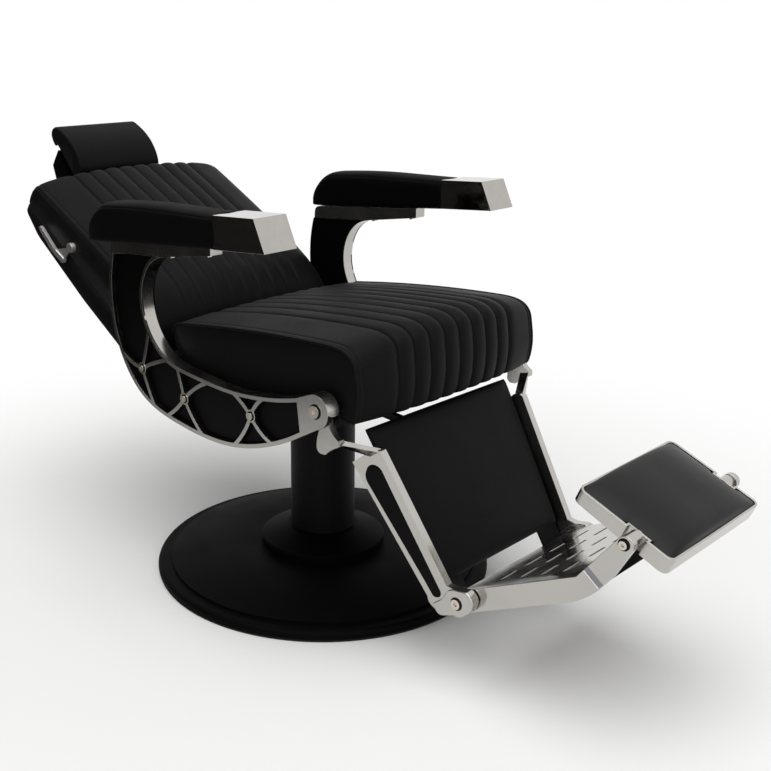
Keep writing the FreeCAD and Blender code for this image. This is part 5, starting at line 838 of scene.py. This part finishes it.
# Steps from the top and from the foot of the hinge plate, along and forward.
HEAD_ROLL, HEAD_CREST, HEAD_LIP, HEAD_BROW = (12.0, -7.0), (31.0, 3.0), (34.0, 20.0), (20.0, 34.0)
HEAD_FACE, HEAD_CHIN = (-50.0, HEAD_THICK), (-20.0, HEAD_THICK)
HEAD_TUCK, HEAD_HEM = (-26.0, 12.0), (-10.0, -1.7)


def head_rings():
    """Section of the head pad at every station: flat on the hinge plate, rolled over at the top, a bowed
    face and a tucked foot. Its ends are rolled by a quarter round, and a bell curve draws in each seam."""
    edge, drawn = quarter_round(HEAD_HALF, HEAD_EDGE, 7)
    y = np.concatenate([-edge[::-1], -HEAD_SEAM_STATIONS[::-1], HEAD_MIDDLE, HEAD_SEAM_STATIONS, edge])
    inset = np.concatenate([drawn[::-1], np.zeros(len(y) - 2 * len(drawn)), drawn])
    inset = inset + HEAD_SEAM_DEPTH * np.exp(-(np.abs(y) - HEAD_SEAM) ** 2)

    def spot(start, step, shorter=0.0, thinner=0.0):
        """One point of every section, a step from the start, drawn in along and forward."""
        return dot(start[0] + step[0] - shorter + 0 * y, start[1] + step[1] - thinner)

    low, high = spot(HEAD_FOOT, (0.0, PLATE_GAP)), spot(HEAD_TOP, (0.0, PLATE_GAP))
    roll, crest, lip = [spot(HEAD_TOP, step, inset) for step in (HEAD_ROLL, HEAD_CREST, HEAD_LIP)]
    brow = spot(HEAD_TOP, HEAD_BROW, inset, inset)
    face, chin = spot(HEAD_TOP, HEAD_FACE, 0.0, inset), spot(HEAD_FOOT, HEAD_CHIN, 0.0, inset)
    tuck, hem = spot(HEAD_FOOT, HEAD_TUCK, -inset), spot(HEAD_FOOT, HEAD_HEM, -inset)
    rings = np.concatenate([run(low, high, 22), bow(high, roll, crest, 9), bow(crest, lip, brow, 10),
                            bow(brow, face, chin, 40), bow(chin, tuck, hem, 14), run(hem, low, 4)], axis=1)
    return in_back(y, eased(rings, 2))


head = skin("head_upholstery", head_rings(), leather, "head")
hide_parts("headrest_pad")
dress(moulded_plastic, "headrest_housing")
dress(chrome, "headrest_post")
dress(black_paint, "headrest_hinge", "headrest_guide")


# Recline lever
# A lever cast in aluminium and tumbled, on a nickel plated boss at the right of the back; painted light makes
# it paler than the frames. Pulling it frees the gas strut.
LEVER_ROLL = 3.2
SATIN_GRAIN = 3.0 * MM
lit_satin, tree, shader, place = finish("tumbled_cast_aluminium_painted_light", "e2e0de", Metallic=1.0, Roughness=0.45)
# Tumbled rather than mopped: a soft satin that gathers light from all round. Its colour, paler than the
# frames' polish, is painted light.
grain = add(tree, "ShaderNodeTexNoise", {"Vector": place, "Scale": 1.0 / SATIN_GRAIN, "Detail": 3.0})
bump = add(tree, "ShaderNodeBump", {"Height": grain.outputs["Fac"], "Strength": 0.08, "Distance": 0.2 * MM})
plug(tree, shader, {"Normal": bump.outputs[0]})
# The lever's paler colour is painted light.
rounded("lever_casting", "recline_lever", LEVER_ROLL, lit_satin, "lever")
dress(nickel, "lever_boss")


# Leg rest
# Two polished cast arms hang from the side frames and hold the padded calf board between them. Each has a
# dark moulded insert along its outer face and a closed foot about the hinge of the foot plate.
LEG_TOP = (345.0, 408.0)
LEG_SLOPE = math.radians(57.9)
LEG_OUT = 218.0
LEG_TAPER = 0.09
LEG_ROLL = 2.0
for side in SIDES:
    rounded("leg_casting_" + side, "leg_arm_" + side, LEG_ROLL, cast_aluminium, "leg")
dress(moulded_plastic, "leg_inlay_right", "leg_inlay_left")
dress(black_paint, "calf_board")
dress(nickel, "foot_hinge_bolts")


def leg_place(along, forward):
    """x and z of a point measured down the leg rest and forward of it."""
    x = LEG_TOP[0] + along * math.cos(LEG_SLOPE) + forward * math.sin(LEG_SLOPE)
    z = LEG_TOP[1] - along * math.sin(LEG_SLOPE) + forward * math.cos(LEG_SLOPE)
    return x, z


def on_leg(name, outline, outer, inner, roll, material, sign):
    """Plate on a leg arm: an outline of (along, forward) pairs between two distances from the middle plane,
    which may change along the arm, with its edges rolled."""
    along, forward = outline[:, 0], outline[:, 1]
    x, z = leg_place(along, forward)
    rings = np.stack([np.stack([x, sign * (side + 0 * along), z], -1) for side in (outer, inner)])
    roll_edges(skin(name, rings, material, "leg"), roll)


INSERT_TOP, INSERT_TOP_RADIUS = (48.0, -40.0), 22.4
INSERT_END, INSERT_END_RADIUS = (267.0, -29.5), 10.6
INSERT_PROUD = 0.3
INSERT_SUNK = 1.8
INSERT_ROLL = 0.5


def insert_outline():
    """Long drop: an arc about each end of the insert, joined by the two straight lines that touch both."""
    down = np.subtract(INSERT_END, INSERT_TOP)
    touch = math.acos((INSERT_TOP_RADIUS - INSERT_END_RADIUS) / np.linalg.norm(down))
    turn = math.atan2(down[1], down[0])
    arcs = ((INSERT_TOP, INSERT_TOP_RADIUS, np.linspace(turn + touch, turn + 2 * np.pi - touch, 40)),
            (INSERT_END, INSERT_END_RADIUS, np.linspace(turn - touch, turn + touch, 30)))
    return np.concatenate([np.array(middle) + radius * np.stack([np.cos(sweep), np.sin(sweep)], -1)
                           for middle, radius, sweep in arcs])


insert = insert_outline()
insert_face = LEG_OUT - LEG_TAPER * insert[:, 0]
for side, sign in SIDES.items():
    on_leg("leg_insert_" + side, insert, insert_face + INSERT_PROUD, insert_face - INSERT_SUNK, INSERT_ROLL,
           moulded_plastic, sign)

FOOT_HINGE = (508.0, 161.0)
FOOT_HINGE_FACE = 195.88
FOOT_HINGE_SHADE_RING = (9.2, 12.0)
LEG_FOOT = np.array([(284.0, -47.0), (307.0, -46.0), (320.5, 26.0), (302.0, 44.0), (283.0, 40.0),
                     (268.0, 3.0), (281.0, -20.0)])
LEG_FOOT_CUT = np.array([3.0, 13.0, 14.0, 9.0, 9.0, 9.0, 9.0])
LEG_FOOT_PROUD = 0.3
LEG_FOOT_INNER = 177.0


def leg_foot_outline():
    """Outline of the foot: each corner is cut back along its two sides, and a parabola joins the cuts."""
    ways = [np.roll(LEG_FOOT, step, axis=0) - LEG_FOOT for step in (1, -1)]
    starts, ends = [LEG_FOOT + LEG_FOOT_CUT[:, None] * way / np.linalg.norm(way, axis=1, keepdims=True)
                    for way in ways]
    arcs = bow(starts, starts / 4 + LEG_FOOT / 2 + ends / 4, ends, 9)
    return np.concatenate([arcs, ends[:, None]], axis=1).reshape(-1, 2)


for side, sign in SIDES.items():
    on_leg("leg_foot_" + side, leg_foot_outline(), FOOT_HINGE_FACE + LEG_FOOT_PROUD, LEG_FOOT_INNER, LEG_ROLL,
           cast_aluminium, sign)
# Painted shade round the foot plate's hinge bolt, as black rings.
bolt_shade_rings("foot_hinge_shade_rings", [FOOT_HINGE], FOOT_HINGE_SHADE_RING, FOOT_HINGE_FACE, "leg")

CALF_TOP = -37.0
CALF_BOTTOM = 258.0
CALF_HALF = 201.0
CALF_REAR = -28.0
CALF_FACE = -16.0
CALF_CROWN = 9.0
CALF_SIDE_SQUARE = 18.0
CALF_END_SQUARE = 22.0
CALF_END_DEPTH = 0.4
CALF_END_WIDTH = 0.985


def spread(count):
    """Stations from -1 to 1 by a sine, which brings them close together at both ends."""
    return np.sin(np.linspace(-np.pi / 2, np.pi / 2, count))


def lens(width, squareness):
    """Edge profile from 0 at both rims to 1 inside: a superellipse of the given squareness."""
    return np.sqrt(np.clip(1 - np.abs(width) ** squareness, 0, 1))


def calf_rings():
    """Flat pillow on the calf board, narrower downwards: its face is crowned by a square across and by a
    fourth power along, and falls to the rear at its rims by a superellipse."""
    share = spread(58)
    along = CALF_TOP + (CALF_BOTTOM - CALF_TOP) * (share + 1) / 2
    half = CALF_HALF - LEG_TAPER * along
    over = spread(72)
    under = over[-2:0:-3]
    wide = np.concatenate([over, under])
    front = np.concatenate([lens(over, CALF_SIDE_SQUARE), 0 * under])
    end = (CALF_END_DEPTH + (1 - CALF_END_DEPTH) * lens(share, CALF_END_SQUARE))[:, None]
    crown = CALF_CROWN * (1 - wide ** 2) * (1 - 0.45 * share[:, None] ** 4)
    forward = CALF_REAR + (CALF_FACE - CALF_REAR + crown) * end * front
    y = half[:, None] * wide * (CALF_END_WIDTH + (1 - CALF_END_WIDTH) * end)
    x, z = leg_place(np.broadcast_to(along[:, None], y.shape), forward)
    return np.stack([x, y, z], -1)


calf = skin("calf_upholstery", calf_rings(), leather, "leg")
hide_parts("calf_pad")


# Foot plate
# A cast tread with slots between two rails that bend up to carry the foot pad, and a dark sheet across
# its end. The tread is polished, and shows the pads above it.
FOOT_ROLL = 1.0
FOOT_RAIL_FACE = 175.0
FOOT_GROOVE = 1.5
MILL_PITCH = 1.2 * MM
milled_and_shaded, tree, shader, place = finish("milled_aluminium_painted_shade", "8a8a90", Metallic=1.0, Roughness=0.34)
# A cutter's fine even marks in the rails' grooves, duller than the polish about them. Its dark blue-grey tone
# is painted shade in the grooves.
marks = add(tree, "ShaderNodeTexWave", {"Vector": place, "Scale": 1.0 / MILL_PITCH, "Distortion": 0.5},
            bands_direction="X")
bump = add(tree, "ShaderNodeBump", {"Height": marks.outputs["Fac"], "Strength": 0.08, "Distance": 0.05 * MM})
plug(tree, shader, {"Normal": bump.outputs[0]})


def in_groove(spot, way):
    """Faces of the rails' grooves: those that face sideways, a groove's depth inside the rails' faces."""
    depth = FOOT_RAIL_FACE - np.abs(spot[:, 1])
    return (np.abs(way[:, 1]) > 0.9) & (np.abs(depth - FOOT_GROOVE) < 0.4)


# The grooves' faces get the milled finish with its painted shade.
rounded("foot_casting", "foot_plate", FOOT_ROLL, cast_aluminium, "foot", second=milled_and_shaded,
        where=in_groove)
dress(black_paint, "toe_cover")
dress(nickel, "flip_pivot_bolts")
FLIP_PIVOT_PLACE = (795.65, 362.19)
FLIP_PIVOT_SHADE_RING = (7.2, 10.2)
# Painted shade round the flip pivot screws, as black rings.
bolt_shade_rings("flip_pivot_shade_rings", [FLIP_PIVOT_PLACE], FLIP_PIVOT_SHADE_RING, FOOT_RAIL_FACE, "foot")


# Foot pad
# A crowned foam pad in leather cloth, let into a polished cast tray. The tray turns over on two pivot
# screws between the rails.
FLIP_ORIGIN = (695.0, 416.0)
FLIP_SLOPE = math.radians(22.6)
FLIP_ROLL = 1.6
rounded("flip_casting", "flip_tray", FLIP_ROLL, cast_aluminium, "flip")

FLIP_REAR = 4.3
FLIP_FRONT = 175.7
FLIP_HALF = 142.7
FLIP_BOTTOM = -17.7
FLIP_EDGE = -2.5
FLIP_CROWN = 19.0
FLIP_CORNER = 10.0
FLIP_PIVOT = 113.6
FLIP_NOTCH = 7.4
FLIP_NOTCH_HALF = 22.6
FLIP_NOTCH_EASE = 7.0
FLIP_SIDE_SQUARE = 16.0
FLIP_END_SQUARE = 26.0


def foot_pad_rings():
    """Pillow in the tray with round corners and a smooth notch at each pivot screw. Its face is crowned by
    a power of 3.2 across and 6 along, and falls to the tray's rim by a superellipse."""
    share = spread(91)
    along = FLIP_REAR + (FLIP_FRONT - FLIP_REAR) * (share + 1) / 2
    from_end = np.minimum(along - FLIP_REAR, FLIP_FRONT - along)
    into_corner = np.clip(FLIP_CORNER - from_end, 0, None)
    corner = FLIP_CORNER - np.sqrt(np.clip(FLIP_CORNER ** 2 - into_corner ** 2, 0, None))
    notch = FLIP_NOTCH_HALF + FLIP_NOTCH_EASE - np.abs(along - FLIP_PIVOT)
    notch = np.clip(notch / FLIP_NOTCH_EASE, 0, 1)
    notch = FLIP_NOTCH * notch ** 2 * (3 - 2 * notch)
    half = FLIP_HALF - np.maximum(corner, notch)
    over = spread(80)
    under = over[-2:0:-4]
    y = half[:, None] * np.concatenate([over, under])
    front = np.concatenate([lens(over, FLIP_SIDE_SQUARE), 0 * under])
    end = lens(share, FLIP_END_SQUARE)[:, None]
    crown = FLIP_CROWN * (1 - np.abs(y / FLIP_HALF) ** 3.2) * (1 - 0.3 * share[:, None] ** 6)
    above = FLIP_EDGE + (crown - FLIP_EDGE) * end * front
    above[:, len(over):] = FLIP_BOTTOM
    x = FLIP_ORIGIN[0] + along[:, None] * math.cos(FLIP_SLOPE) + above * math.sin(FLIP_SLOPE)
    z = FLIP_ORIGIN[1] - along[:, None] * math.sin(FLIP_SLOPE) + above * math.cos(FLIP_SLOPE)
    return np.stack([x, y, z], -1)


# Shoes rub the foot pad smooth, so its cloth is greyer and shinier than that of the cushions.
foot_leather = leather_cloth("rubbed_leather_cloth", "141416", "0f0f11", (0.4, 0.5), 0.2)
foot_pad = skin("foot_pad_upholstery", foot_pad_rings(), foot_leather, "flip")
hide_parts("flip_pad")
